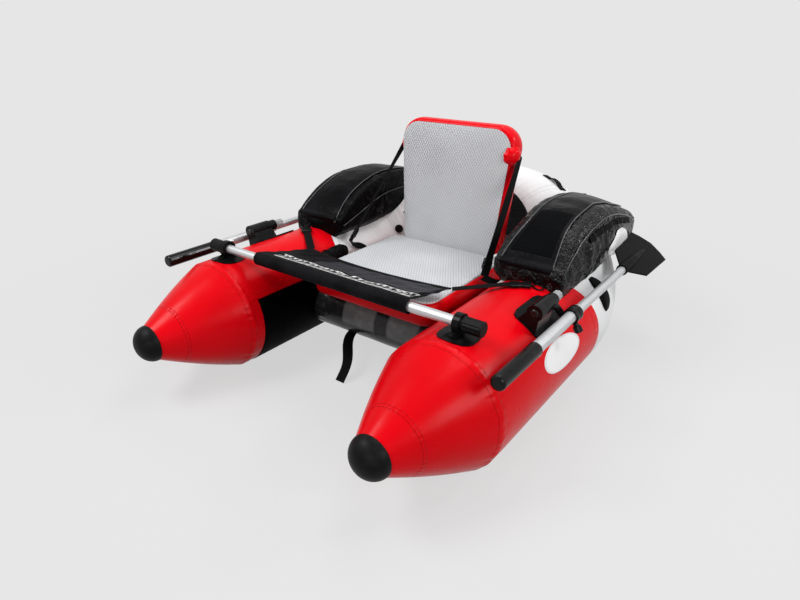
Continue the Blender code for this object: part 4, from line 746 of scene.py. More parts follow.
def skin(side, y, angle, lift=0.0):
    """Points on the hull at places along Y and angles from straight up, positive outboard: the
    tube's centre plus (radius + lift) times the direction of the angle."""
    y, angle, lift = np.broadcast_arrays(y, angle, lift)
    radius = SKIN_R + lift
    straight = coords(TUBE_X + radius * np.sin(angle), y, TUBE_Z + radius * np.cos(angle))
    turn = np.arcsin(np.clip((y - BEND_Y) / BEND_LENGTH, 0.0, 1.0))
    centre, outward, upward = bend_frame(turn)
    bent = centre + radius[..., None] * (
        np.sin(angle)[..., None] * outward + np.cos(angle)[..., None] * upward)
    points = np.where((y > BEND_Y)[..., None], bent, straight)
    return points * np.array((side, 1.0, 1.0))


def clear_of_hull(points, lift):
    """Push points that are nearer to the hull tube's axis than its skin plus lift out to there."""
    flat = np.asarray(points, dtype=float).reshape(-1, 3)
    axis = bend_frame(np.linspace(0.0, math.pi, 241))[0]
    side = np.where(flat[:, 0] < 0.0, -1.0, 1.0)
    straight = coords(side * TUBE_X, flat[:, 1], TUBE_Z)
    near = axis[np.argmin(((flat[:, None] - axis[None]) ** 2).sum(axis=-1), axis=1)]
    centre = np.where((flat[:, 1] > BEND_Y)[:, None], near, straight)
    away = flat - centre
    reach = np.linalg.norm(away, axis=1, keepdims=True)
    return (centre + away / reach * np.maximum(reach, SKIN_R + lift)).reshape(points.shape)


# %% [markdown]
# Each pontoon is red cloth from its cone to a slanted seam, where the grey stern begins. The cone
# isn't straight-sided: air bulges it a little, and it gathers in small puckers where it is welded
# to the tube. The rows of the grid follow the slant, so that red ends exactly on the seam.

# %% Pontoons
def pontoon(label, side):
    """Red tube with its cone: radius = tip + (tube - tip)(s + bulge sin(pi s)) along the cone."""
    angle = np.linspace(-math.pi, math.pi, 161)
    cone = np.linspace(CONE_FRONT_Y, CONE_REAR_Y, 40)[:-1, None] + 0.0 * angle
    along = np.linspace(0.0, 1.0, 76)[:, None]
    slant = SPLIT_SLOPE * SKIN_R * np.sin(angle) * along
    body = CONE_REAR_Y + (SPLIT_Y - CONE_REAR_Y) * along + slant
    y = np.concatenate((cone, body))
    share = np.clip((y - CONE_FRONT_Y) / (CONE_REAR_Y - CONE_FRONT_Y), 0.0, 1.0)
    radius = CONE_TIP_R + (SKIN_R - CONE_TIP_R) * (share + CONE_BULGE * np.sin(math.pi * share))
    near_seam = np.exp(-((y - CONE_REAR_Y) / 0.028) ** 2)
    pucker = near_seam * (0.5 + 0.5 * np.sin(angle * 19.0 + 2.0 * np.sin(angle * 3.0)))
    reach = radius - 0.0011 * pucker
    grid = coords(TUBE_X - NOSE_TOE_IN * (1.0 - share) + reach * np.sin(angle), y,
                  TUBE_Z + NOSE_RISE * (1.0 - share) + reach * np.cos(angle))
    grid[..., 0] *= side
    uv = coords(angle[None, :] * TUBE_R, np.concatenate((cone, body - slant)))
    made = surface("pontoon_skin_" + label, grid, RED_TUBE, uv)
    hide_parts("pontoon_" + label)


for label, side in SIDES.items():
    pontoon(label, side)

# %% [markdown]
# The stern is the grey tube that joins both pontoons. Its cloth is cut flat and then bent, so its
# inner side has too much of it and gathers in creases across the tube. The creases are deepest in
# the middle of the bend and fade to nothing on its outer side.

# %% Stern
CREASE_DEPTH = 0.0035


def stern():
    """Tube round the bend, of radius skin - depth wave^2 inner^1.5 (sin t)^0.5, where inner is 1 on
    the bend's inner side. A straight lead at each end reaches the slanted seam."""
    turn = np.linspace(0.0, math.pi, 241)
    angle = np.linspace(-math.pi, math.pi, 129)
    centre, outward, upward = bend_frame(turn)
    inner = np.clip(-np.sin(angle), 0.0, 1.0) ** 1.5
    bend = np.sin(turn)[:, None] ** 0.5
    phase = turn[:, None] * 92.0 + 3.0 * np.sin(turn[:, None] * 9.0) + angle * 1.5
    wave = 0.5 + 0.5 * np.sin(phase)
    reach = SKIN_R - CREASE_DEPTH * wave ** 2 * inner * bend
    grid = centre[:, None, :] + reach[..., None] * (
        np.sin(angle)[None, :, None] * outward[:, None, :]
        + np.cos(angle)[None, :, None] * upward[:, None, :])
    share = np.linspace(0.0, 1.0, 14)[:-1, None]
    seam = SPLIT_Y + SPLIT_SLOPE * SKIN_R * np.sin(angle)
    y = seam + (BEND_Y - seam) * share
    lead = coords(TUBE_X + SKIN_R * np.sin(angle), y, TUBE_Z + SKIN_R * np.cos(angle))
    grid = np.concatenate((lead, grid, lead[::-1] * np.array((-1.0, 1.0, 1.0))))
    arc = BEND_LENGTH * turn
    lead_arc = (BEND_Y - SPLIT_Y) * (share[:, 0] - 1.0)
    arc = np.concatenate((lead_arc, arc, arc[-1] - lead_arc[::-1]))
    uv = coords(angle[None, :] * TUBE_R, arc[:, None])
    made = surface("stern_skin", grid, GREY, uv)
    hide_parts("stern_tube")


stern()

# %% [markdown]
# The seat and its back are flat air panels: threads inside hold both faces flat, and only the wall
# between them bulges. Each is a set of closed outlines, a trapezium with rounded corners, at one
# level after another. An outline is made once, in flat coordinates, and a place function then lays
# it on the level seat or on the leaning back.

# %% Outlines of the seat and its back
def rounded(half_low, half_high, low, high, radius_low, radius_high, inset, steps=12, along=14):
    """Closed outline of a trapezium, moved inwards by inset: a quarter circle of
    centre + radius (cos t, sin t) at each corner, and straight lines between them."""
    half_low, half_high = half_low - inset, half_high - inset
    low, high = low + inset, high - inset
    radius_low, radius_high = max(radius_low - inset, 0.004), max(radius_high - inset, 0.004)
    corners = ((half_low, low, radius_low, -90.0), (half_high, high, radius_high, 0.0),
               (-half_high, high, radius_high, 90.0), (-half_low, low, radius_low, 180.0))
    arcs = []
    for x, y, radius, start in corners:
        turn = np.radians(start + 90.0 * np.linspace(0.0, 1.0, steps + 1))
        centre = np.array((x - math.copysign(radius, x), y + (radius if y == low else -radius)))
        arcs.append(centre + radius * coords(np.cos(turn), np.sin(turn)))
    points = []
    for arc, following in zip(arcs, arcs[1:] + arcs[:1]):
        share = np.linspace(0.0, 1.0, along + 2)[1:-1, None]
        points += [arc, arc[-1] + (following[0] - arc[-1]) * share]
    return np.concatenate(points)


BACK_LEAN = math.radians(5.06)
HINGE_Y, HINGE_Z, SEAT_PAD_REAR_Y = 0.569, 0.2866, 0.588
BACK_FOOT_Z = HINGE_Z + (SEAT_PAD_REAR_Y - HINGE_Y) * math.tan(BACK_LEAN)
BACK_FOOT = np.array((0.0, HINGE_Y, BACK_FOOT_Z))
BACK_UP = np.array((0.0, math.sin(BACK_LEAN), math.cos(BACK_LEAN)))
BACK_BEHIND = np.array((0.0, math.cos(BACK_LEAN), -math.sin(BACK_LEAN)))


def seat_place(flat, level):
    """Flat (x, y) at a level above the floor."""
    return np.column_stack((flat, np.broadcast_to(level, flat.shape[:1])))


def back_place(flat, depth):
    """Flat (x, height) on the leaning back, at a depth behind its front: foot + x + height up +
    depth behind."""
    depth = np.broadcast_to(depth, flat.shape[:1])
    across = flat[:, :1] * np.array((1.0, 0.0, 0.0))
    return BACK_FOOT + across + flat[:, 1:] * BACK_UP + depth[:, None] * BACK_BEHIND


print("the back leans %.1f degrees from its foot, %.3f m up"
      % (math.degrees(BACK_LEAN), BACK_FOOT_Z))

# %% [markdown]
# The wall between a panel's faces is pushed out by the air, most at its middle, so its inset falls
# and rises again as a square between the two welds.

# %% Air panels
# Half widths at the low and high end, the two ends, and the radii of their corners.
SEAT = (0.226, 0.226, 0.15, 0.60, 0.05, 0.05)
BACK = (0.182, 0.209, 0.0, 0.403, 0.02, 0.07)
WALL_BULGE, WELD = 0.006, 0.003


def panel(name, shape, near, far, place, node, body):
    """Air panel from level near to far: the wall's inset is bulge (2 s - 1)^2, and a narrow weld
    rounds its edges."""
    share = np.linspace(0.0, 1.0, 13)[1:-1]
    wall = [(WALL_BULGE * (2.0 * s - 1.0) ** 2, near + (far - near) * s) for s in share]
    weld = (WALL_BULGE + WELD * 3.0, WALL_BULGE + WELD)
    profile = [(weld[0], near), (weld[1], near)] + wall + [(weld[1], far), (weld[0], far)]
    rings = np.array([place(rounded(*shape, inset), level) for inset, level in profile])
    perimeter = lengths(rings[2])
    perimeter = np.append(perimeter, perimeter[-1])
    levels = np.array([level for _, level in profile])
    uv = coords(perimeter[None, :], levels[:, None])
    made = surface(name, rings, RED, uv, wrap=(False, True), caps=(True, True), body=body)
    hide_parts(node)


panel("seat_panel", SEAT, 0.215, 0.28, seat_place, "seat_base", "hull")
panel("back_panel", BACK, 0.0063, 0.068, back_place, "backrest", "backrest")

# %% [markdown]
# A foam pad is glued on each panel. Pressing rounds its edge, and its top crowns a little. A cloth
# simulation would give the same crown, but the pad is glued down all over, so two formulas do: a
# quarter turn at the edge, and a crown that stays flat in the middle. U and V are the pad's own
# flat coordinates, so the embossed diamonds aren't stretched.

# %% Foam pads
SEAT_PAD = (0.214, 0.214, 0.162, SEAT_PAD_REAR_Y, 0.04, 0.04)
BACK_PAD = (0.167, 0.1935, 0.0015, 0.3865, 0.012, 0.0565)
STEEP, ROUND = 0.35, 0.65


def pad(name, shape, low, high, place, node, body, crown):
    """Foam pad with a rounded edge, and a crown of c (1 - share^8) from its edge to its middle."""
    thick = high - low
    turns = math.pi / 2.0 * np.arange(1, 7) / 6.0
    roll = [(0.0, low), (0.0, low + thick * STEEP)]
    roll += [(thick * ROUND * (1.0 - math.cos(turn)),
              low + thick * (STEEP + ROUND * math.sin(turn))) for turn in turns]
    flats = [rounded(*shape, inset) for inset, _ in roll]
    levels = [level for _, level in roll]
    edge = rounded(*shape, thick * ROUND)
    middle = edge.mean(axis=0)
    for share in 1.0 - np.linspace(0.0, 1.0, 30)[1:] ** 1.8:
        flats.append(middle + (edge - middle) * share)
        levels.append(high + crown * (1.0 - share ** 8))
    rings = np.array([place(flat, level) for flat, level in zip(flats, levels)])
    made = surface(name, rings, FOAM, closed_uv(np.array(flats)), wrap=(False, True),
                   caps=(True, False), body=body)
    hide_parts(node)


pad("seat_cushion", SEAT_PAD, 0.2803, 0.2863, seat_place, "seat_pad", "hull", 0.003)
pad("back_cushion", BACK_PAD, 0.006, 0.0, back_place, "backrest_pad", "backrest", -0.006)

# %% [markdown]
# Where a strap starts, a round patch is welded over the edge of the seat back. It is a low dome
# with a wrinkled rim, turned partly round the edge: the right one faces more to the front.

# %% Patches of the seat back
BACK_PATCH_R, BACK_PATCH_HIGH, STRAP_HEAD_UP = 0.029, 0.013, 0.318


def back_patch(label, side, edge, depth, turned):
    """Dome of height h (1 - s^2.6) over a wrinkled disc, which faces sideways, turned forward."""
    centre = back_place(np.array([[side * edge, STRAP_HEAD_UP]]), depth)[0]
    facing = np.array((side * math.cos(turned), -math.sin(turned), 0.0))
    across = np.array((side * math.sin(turned), math.cos(turned), 0.0))
    share = np.linspace(0.0, 1.0, 14)[:, None]
    turn = circle(48)[None, :]
    wrinkle = 1.0 + 0.05 * np.sin(turn * 7.0 + 2.0 * np.sin(turn * 2.0)) * share
    a = BACK_PATCH_R * share * wrinkle * np.cos(turn)
    b = BACK_PATCH_R * share * wrinkle * np.sin(turn)
    height = (BACK_PATCH_HIGH * (1.0 - share ** 2.6)
              + 0.0012 * np.sin(turn * 5.0) * share * (1.0 - share) - 0.006 * share ** 3)
    grid = centre + a[..., None] * across + b[..., None] * BACK_UP + height[..., None] * facing
    made = surface("back_patch_" + label, grid, RED, wrap=(False, True), body="backrest")
    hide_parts("backrest")


back_patch("left", -1.0, 0.2030, 0.030, math.radians(8.0))
back_patch("right", 1.0, 0.2035, 0.008, math.radians(36.0))

# %% [markdown]
# Webbing and piping are profiles carried along a path. A curve object with a bevel would do it
# too, but a strap has to keep its flat side turned to a given direction, and here that direction
# is simply a value. Corners of a path are cut a few times until it bends as webbing does.

# %% Ribbons and cords
def eased(points, times=3):
    """Open path with its corners cut until it is smooth: each cut keeps 1/4 and 3/4 of a span."""
    points = np.asarray(points, dtype=float)
    for _ in range(times):
        low, high = points[:-1], points[1:]
        cut = np.stack((0.75 * low + 0.25 * high, 0.25 * low + 0.75 * high), axis=1)
        points = np.concatenate((points[:1], cut.reshape(-1, 3)[1:-1], points[-1:]))
    return points


def ribbon(name, path, across, width, thickness, material, body="hull"):
    """Webbing: path + x across + z normal, where (x, z) runs round a flat profile with half
    circles at its edges. U runs across the webbing and V along it."""
    path = np.asarray(path, dtype=float)
    along = unit(np.gradient(path, axis=0))
    across = np.broadcast_to(across, path.shape)
    across = unit(across - np.sum(across * along, axis=1, keepdims=True) * along)
    normal = np.cross(along, across)
    edge = thickness / 2.0
    flat = np.linspace(-1.0, 1.0, 7) * (width / 2.0 - edge)
    turn = np.linspace(0.0, math.pi, 5)[1:-1]
    round_x, round_z = edge * np.sin(turn), edge * np.cos(turn)
    level = np.full(len(flat), edge)
    x = np.concatenate((flat, flat[-1] + round_x, flat[::-1], flat[0] - round_x))
    z = np.concatenate((level, round_z, -level, -round_z))
    grid = (path[:, None] + x[None, :, None] * across[:, None]
            + z[None, :, None] * normal[:, None])
    uv = coords(np.append(x, x[0])[None, :], lengths(path)[:, None])
    return surface(name, grid, material, uv, wrap=(False, True), caps=(True, True),
                   body=body)


def tube(name, path, radius, material, closed=False, sides=12):
    """Round cord or bar: path + radius (cos t first + sin t second), open with flat ends or
    closed into a ring."""
    path = np.asarray(path, dtype=float)
    if closed:
        along = unit(np.roll(path, -1, axis=0) - np.roll(path, 1, axis=0))
    else:
        along = unit(np.gradient(path, axis=0))
    guide = np.where(np.abs(along[:, 2:]) > 0.9, (1.0, 0.0, 0.0), (0.0, 0.0, 1.0))
    first = unit(np.cross(along, guide))
    second = np.cross(along, first)
    turn = circle(sides)[None, :, None]
    grid = path[:, None] + radius * (
        np.cos(turn) * first[:, None] + np.sin(turn) * second[:, None])
    return surface(name, grid, material, wrap=(closed, True), caps=(not closed,) * 2)


# %% [markdown]
# A cloth skin is a grid with a second one below it, closed along its edges, so that it has the
# thickness of real cloth. A patch on the hull is a rounded form in the hull's own angles and
# places, laid on it by the function skin, so that it bends with the tube.

# %% Cloth skins and patches
def grid_normals(grid, wrapped=False):
    """Unit normals of a grid: the cross product of the differences along its rows and columns."""
    if wrapped:
        across = np.roll(grid, -1, axis=1) - np.roll(grid, 1, axis=1)
    else:
        across = np.gradient(grid, axis=1)
    return unit(np.cross(np.gradient(grid, axis=0), across))


def shell(name, grid, thickness, material, uv):
    """Sheet: a grid, and under it the grid - normal x thickness, joined round all four edges."""
    columns = grid.shape[1]
    under = grid - grid_normals(grid) * thickness
    both = np.concatenate((grid, under[:, ::-1]), axis=1)
    flat = np.concatenate((uv, uv[:, ::-1], uv[:, :1]), axis=1)
    made = surface(name, both, material, flat, wrap=(False, True))
    last = len(made.data.vertices) - 2 * columns
    outwards(made.data, [(start + k, start + k + 1, start + 2 * columns - 2 - k,
                          start + 2 * columns - 1 - k)
                         for start in (0, last) for k in range(columns - 1)])
    return made


def patch(name, side, angle, y, half_width, half_length, lift, thickness, material, turn=0.0):
    """Welded oval on the hull: a = s cos t across and b = s sin t along, turned, with a thin
    edge."""
    share = np.append(np.linspace(0.0, 0.94, 12), (0.97, 0.99, 1.0))[:, None]
    dome = np.append(np.full(12, 1.0), (0.9, 0.6, 0.0))[:, None]
    spin = circle(96)[None, :]
    a, b = share * np.cos(spin), share * np.sin(spin)
    across, along = a * half_width, b * half_length
    across, along = (across * math.cos(turn) + along * math.sin(turn),
                     along * math.cos(turn) - across * math.sin(turn))
    grid = skin(side, y + along, angle + across / TUBE_R, lift + thickness * dome)
    return surface(name, grid, material, closed_uv(coords(a, b)), wrap=(False, True))


# %% [markdown]
# A saddle bag is a boxy bag that hangs over its tube. Its section has six corners that change
# along its length: low at the front, full in the middle, sagging at the back. A lofted box of
# smooth curves gives all of that, and corners stay corners, which a sphere-like bag would lose.
# Columns of the grid keep to one wall or one corner, so folds can be put on a wall alone.

# %% Sections of a bag
BAG_FRONT_Y, BAG_REAR_Y = 0.373, 0.945
BAG_INNER_X, BAG_OUTER_X, BAG_SHOULDER_X = 0.285, 0.486, 0.514
BAG_UNDER_Z, BAG_FRONT_Z, BAG_TOP_Z = 0.292, 0.372, 0.487
BAG_SHARES = (0.0, 0.03, 0.08, 0.16, 0.25, 0.38, 0.50, 0.62, 0.75, 0.87, 1.0)
BAG_INNER_TOPS = (0.0, 0.18, 0.36, 0.58, 0.74, 0.91, 0.97, 0.94, 0.86, 0.75, 0.60)
BAG_OUTER_TOPS = (0.0, 0.18, 0.38, 0.65, 0.82, 0.93, 0.93, 0.84, 0.67, 0.48, 0.25)
BAG_CORNER_R, BAG_SHOULDER_R, BAG_TOP_R = 0.012, 0.03, 0.032
BAG_ROWS, BAG_COUNTS, CORNER_COUNT = 150, (3, 12, 12, 16, 46, 22), 7
OUTER_LOW, OUTER_HIGH, TOP, INNER = 2.0, 3.0, 4.0, 5.0
OUTER_CORNER, OUTER_RIM, INNER_RIM = 2.5, 3.5, 4.5


def bag_rings(share):
    """Sections of the right bag at shares of its length: straight walls joined by corners that
    are (1 - t)^2 enter + 2 t (1 - t) corner + t^2 leave. Also each column's edge and share of it:
    edge k is the wall after corner k, and k - 0.5 is corner k."""
    tops = []
    for table in (BAG_INNER_TOPS, BAG_OUTER_TOPS):
        near = share[:, None] + np.linspace(-0.03, 0.03, 7)
        soft = np.interp(near, BAG_SHARES, table).mean(axis=1)
        tops.append(BAG_FRONT_Z + (BAG_TOP_Z - BAG_FRONT_Z) * soft)
    bottom = BAG_UNDER_Z + 0.02 * share ** 2
    full = np.sin(math.pi * (0.1 + 0.8 * share))
    shoulder = BAG_OUTER_X + (BAG_SHOULDER_X - BAG_OUTER_X) * full
    x = coords(BAG_INNER_X, BAG_INNER_X + 0.05, BAG_OUTER_X, shoulder, BAG_OUTER_X, BAG_INNER_X)
    z = coords(bottom + 0.042, bottom, bottom, (bottom + tops[1]) / 2.0, tops[1], tops[0])
    corners = coords(x, z)
    grown = 0.4 + 0.6 * np.sin(math.pi / 2.0 * np.minimum(1.0, share / 0.25))
    top_r = BAG_TOP_R * grown
    radius = coords(BAG_CORNER_R, BAG_CORNER_R, BAG_CORNER_R, BAG_SHOULDER_R, top_r, top_r)
    radius = radius[..., None]
    leave = corners + unit(np.roll(corners, -1, axis=1) - corners) * radius
    enter = corners + unit(np.roll(corners, 1, axis=1) - corners) * radius
    columns, edge, arc = [], [], []
    t = np.linspace(0.0, 1.0, CORNER_COUNT)[None, :, None]
    for k, count in enumerate(BAG_COUNTS):
        bent = ((1.0 - t) ** 2 * enter[:, k, None] + 2.0 * t * (1.0 - t) * corners[:, k, None]
                + t * t * leave[:, k, None])
        steps = np.linspace(0.0, 1.0, count + 2)[1:-1]
        span = enter[:, (k + 1) % 6, None] - leave[:, k, None]
        columns += [bent, leave[:, k, None] + span * steps[None, :, None]]
        edge += [np.full(CORNER_COUNT, k - 0.5), np.full(count, float(k))]
        arc += [t[0, :, 0], steps]
    return np.concatenate(columns, axis=1), np.concatenate(edge), np.concatenate(arc)


# %% [markdown]
# Folds belong on one wall and gathers on one seam, so a mask picks columns of the grid, and it is
# eased over a few of them, because cloth doesn't change from one thread to the next. The bag's
# ends are closed by rings that turn in towards the middle, as a pillow's end does.

# %% Masks and ends of a bag
CAP_RINGS, CAP_BULGE = 12, 0.016


def mask(edge, *walls):
    """1 on the columns of the named walls and corners, eased over seven columns round the bag."""
    hard = np.isin(edge, walls) * 1.0
    padded = np.concatenate((hard[-6:], hard, hard[:6]))
    return np.convolve(padded, np.ones(7) / 7.0, "same")[6:-6]


def end_rings(base, sign, seed):
    """Rings that close an end: middle + (base - middle) cos t, pushed out by bulge sin t."""
    middle = base.mean(axis=0)
    rings = []
    for turn in math.pi / 2.0 * np.arange(1, CAP_RINGS + 1) / CAP_RINGS:
        bulge = np.array((0.0, CAP_BULGE * math.sin(turn), 0.0))
        ring = middle + (base - middle) * math.cos(turn) + sign * bulge
        crease = waves(ring, (0.05, 0.03), seed)[:, None] * 0.002 * math.sin(2.0 * turn)
        rings.append(ring + crease * np.array((0.0, sign, 0.0)))
    return rings


# %% [markdown]
# The walls get what sewing and use do to them: large and small folds on the outer wall, which
# lean with the bag, small gathers where the piping is sewn, and a slack top that crowns. All of
# them are heights along the wall's normal, so they add up. The right wall is calm under its badge.

# %% Walls of a bag
CALM_Y, CALM_Z = 0.77, 0.345
GATHER = 0.013


def bag_body(side):
    """The bag's walls: section + normal (folds + gathers + slack + crown), with closed ends."""
    share = np.linspace(0.0, 1.0, BAG_ROWS)
    flat, edge, arc = bag_rings(share)
    y = BAG_FRONT_Y + (BAG_REAR_Y - BAG_FRONT_Y) * share
    grid = coords(flat[..., 0], y[:, None], flat[..., 1])
    normal = grid_normals(grid, wrapped=True)
    ends = np.sin(math.pi * share)[:, None] ** 0.4
    outer = mask(edge, OUTER_LOW, OUTER_CORNER, OUTER_HIGH)
    rim = mask(edge, OUTER_RIM, INNER_RIM)
    top = mask(edge, TOP)
    seed, crumple = (5, 1.0) if side > 0 else (11, 0.55)
    slant = grid + 0.35 * (grid[..., 2:] - 0.35) * np.array((0.0, 1.0, 0.0))
    large = ridges(slant * np.array((1.0, 1.0, 0.35)), 0.10, 0.45, 1.0, seed)
    small = ridges(slant * np.array((1.0, 1.0, 0.5)), 0.045, 0.4, 1.0, seed + 1)
    wander = 5.0 * waves(grid, (0.06,), seed + 2)
    gather = np.sin(grid[..., 1] * (2.0 * math.pi / GATHER) + wander)
    slack = waves(grid, (0.16, 0.09), seed + 3)
    if side > 0:
        away_y, away_z = (grid[..., 1] - CALM_Y) / 0.135, (grid[..., 2] - CALM_Z) / 0.062
        outer = outer * (1.0 - 0.92 * np.exp(-away_y ** 6 - away_z ** 6))
    lift = (outer * crumple * (0.0090 * large + 0.0034 * small - 0.004) + 0.0010 * gather * rim
            + top * (0.0035 * slack - 0.001) + 0.0016 * slack * (1.0 - top))
    crown = top * 0.008 * np.sin(math.pi * arc) ** 0.8
    grid = grid + normal * ((lift + crown) * ends)[..., None]
    front, rear = end_rings(grid[0], -1.0, seed + 4), end_rings(grid[-1], 1.0, seed + 4)
    return np.concatenate((np.array(front[::-1]), grid, np.array(rear))), edge


# %% [markdown]
# The lid is a second skin just above the top, with a lip that turns down at the front, and a cord
# of piping is sewn along each of its edges. Both are read off the wall's own points, so they
# follow every fold, and no gap opens between them.

# %% Lid of a bag
LID_LIFT, LID_CROWN, LID_THICK, LID_HALF = 0.0022, 0.0012, 0.0016, 0.085
# Steps of the lip: forward and down from the lid's front edge.
LID_LIP = ((0.016, 0.019), (0.0175, 0.011), (0.0165, 0.005), (0.012, 0.0012), (0.006, 0.0001))


def on_bag(made, label):
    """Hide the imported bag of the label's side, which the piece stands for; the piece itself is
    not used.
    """
    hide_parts("bag_" + label)


def bag_lid(label, side, grid, top):
    """Lid above the top's points by 2.2 to 3.4 mm, and its two edges' piping."""
    mirror = np.array((side, 1.0, 1.0))
    low, high = (top[3] if side > 0 else top[1]), top[-2] + 1
    part = grid[CAP_RINGS + 1:CAP_RINGS + BAG_ROWS - 3, low:high]
    inner = np.linspace(-1.0, 1.0, high - low)
    lift = LID_LIFT + LID_CROWN * (1.0 - inner ** 4)
    drape = part + grid_normals(part) * lift[None, :, None]
    lip = np.array([drape[0] - np.array((0.0, ahead, down)) for ahead, down in LID_LIP])
    drape = np.concatenate((lip, drape))
    distance = lengths(drape[:, (high - low) // 2])
    uv = coords(inner[None, :] * LID_HALF, distance[:, None])
    made = shell("bag_lid_" + label, drape * mirror, LID_THICK * side, LID_LOOKS[label], uv)
    on_bag(made, label)
    for place, column in (("outer", 0), ("inner", -1)):
        cord = eased((drape[:, column] + np.array((0.0, 0.0, 0.0012)))[::6], 2) * mirror
        on_bag(tube("bag_piping_%s_%s" % (place, label), cord, 0.0021, SHEEN_PIPING), label)


# %% [markdown]
# The right bag also has piping on its rim, a webbing binding along its outer wall and an end tab.
# They are paths along chosen columns of the wall, lifted by half their own thickness or more.

# %% Trim of the right bag
def right_trim(grid, edge):
    """Piping on the right bag's rim, and the webbing binding and end tab on its outer wall."""
    first = CAP_RINGS
    rim, wall = np.nonzero(edge == OUTER_RIM)[0], np.nonzero(edge == OUTER_HIGH)[0]
    cord = grid[first + 4:first + 140:6, rim[1]] + np.array((0.0012, 0.0, 0.0015))
    on_bag(tube("bag_piping_rim_right", eased(cord, 2), 0.0019, SHEEN_PIPING), "right")
    rows, column = slice(first + 34, first + 138, 4), wall[10]
    outward = grid_normals(grid, wrapped=True)[rows, column]
    upward = (grid[rows, column + 2] - grid[rows, column - 2]).mean(axis=0)
    path = eased(grid[rows, column] + outward * 0.0022, 1)[1:-1]
    binding = ribbon("bag_wall_binding", path, upward, 0.017, 0.0022, WEBBING)
    on_bag(binding, "right")
    stub = grid[first + 137, wall[4]:wall[-1] + 4] + outward[-1] * 0.0040
    tab = ribbon("bag_end_tab", eased(stub, 1), (0.0, 1.0, 0.0), 0.036, 0.0022, WEBBING)
    on_bag(tab, "right")


# %% [markdown]
# The right bag has a bare badge, a triangle with well rounded corners, which has to lie on a
# crumpled wall. Each of its points looks for the wall's nearest points and takes the outermost of
# them, so the badge bridges small folds as a stiff patch does. The left bag has an arc of piping
# on its inner wall instead.

# %% Badge and arch
BADGE_Y, BADGE_Z, BADGE_SLOPE = 0.765, 0.352, 0.22
BADGE_HALF_LENGTH, BADGE_HALF_HEIGHT, NEAREST = 0.104, 0.044, 24


def badge(grid, edge):
    """Bare rounded triangle on the right bag's outer wall: radius s (1 + 0.13 cos(3 t + 1.2)),
    laid on the outermost of the wall's nearest points."""
    wall = np.nonzero(np.isin(edge, (OUTER_LOW, OUTER_CORNER, OUTER_HIGH)))[0]
    flat = grid[CAP_RINGS:CAP_RINGS + BAG_ROWS, wall].reshape(-1, 3)
    spin = circle(72)
    share = np.array((0.0, 0.3, 0.6, 0.85, 0.96, 1.0))[:, None]
    form = 1.0 + 0.13 * np.cos(3.0 * spin + 1.2)
    y = BADGE_Y + BADGE_HALF_LENGTH * share * form * np.cos(spin)
    rise = BADGE_HALF_HEIGHT * share * form * np.sin(spin)
    z = BADGE_Z - BADGE_SLOPE * (y - BADGE_Y) + rise
    gap = ((y.ravel()[:, None] - flat[None, :, 1]) ** 2
           + (z.ravel()[:, None] - flat[None, :, 2]) ** 2)
    near = np.argsort(gap, axis=1)[:, :NEAREST]
    x = np.take(flat[:, 0], near).max(axis=1).reshape(y.shape)
    lift = np.array((0.0052, 0.0052, 0.0052, 0.0050, 0.0042, 0.0))[:, None]
    uv = closed_uv(coords(share * np.cos(spin), share * np.sin(spin)))
    made = surface("bag_badge", coords(x + lift, y, z), WHITE, uv, wrap=(False, True))
    on_bag(made, "right")


def arch(grid, edge):
    """Arc of piping on the left bag's inner wall, as high as 0.15 + 0.55 sin(pi s)^0.7 of it."""
    wall = np.nonzero(edge == INNER)[0]
    share = np.linspace(0.02, 0.96, 30)
    rise = 0.15 + 0.55 * np.sin(math.pi * share) ** 0.7
    rows = (CAP_RINGS + share * 146).astype(int)
    columns = wall[0] + ((1.0 - rise) * (len(wall) - 1)).astype(int)
    path = eased((grid[rows, columns] - np.array((0.0016, 0.0, 0.0)))[::3], 3)
    on_bag(tube("bag_arch_left", path * np.array((-1.0, 1.0, 1.0)), 0.0017, SHEEN_PIPING), "left")


# %% [markdown]
# Where a wall would sink into the hull, its points are pushed out to the tube's skin, so that the
# bag hugs the tube. V is measured along the middle of the top and U round the bag, both from there.

# %% Bags
def bag(label, side):
    """Saddle bag: its walls, its lid with piping, and what else is sewn on that side's bag."""
    grid, edge = bag_body(side)
    top = np.nonzero(edge == TOP)[0]
    middle = top[len(top) // 2]
    distance = lengths(grid[:, middle])
    distance = distance - distance[CAP_RINGS]
    across = lengths(grid[CAP_RINGS + BAG_ROWS // 2])
    across = across - across[middle]
    hugging = clear_of_hull(grid * np.array((side, 1.0, 1.0)), 0.0009)
    made = surface("bag_shell_" + label, hugging, BAG_LOOKS[label],
                   closed_uv(coords(across[None, :], distance[:, None])), wrap=(False, True),
                   caps=(True, True))
    on_bag(made, label)
    bag_lid(label, side, grid, top)
    if side > 0:
        right_trim(grid, edge)
        badge(grid, edge)
    else:
        arch(grid, edge)


for label, side in SIDES.items():
    bag(label, side)

# %% [markdown]
# The apron is a cloth between the angler's lap and the water. It goes round the crossbar in a
# sleeve and falls behind it to a hem in front of the seat. It is stretched by two corner straps,
# so a formula gives its fall: steep at the bar, flat at the hem, with a little sag between.

# %% Fall of the apron
BAR_Z, SLEEVE_HALF = 0.3570061, 0.266
APRON_WRAP_R, APRON_LEAVE = 0.0177, math.radians(15.0)
APRON_START_Y, APRON_HEM_Y, APRON_HEM_Z, APRON_HEM_HALF = 0.0168, 0.203, 0.3163, 0.262


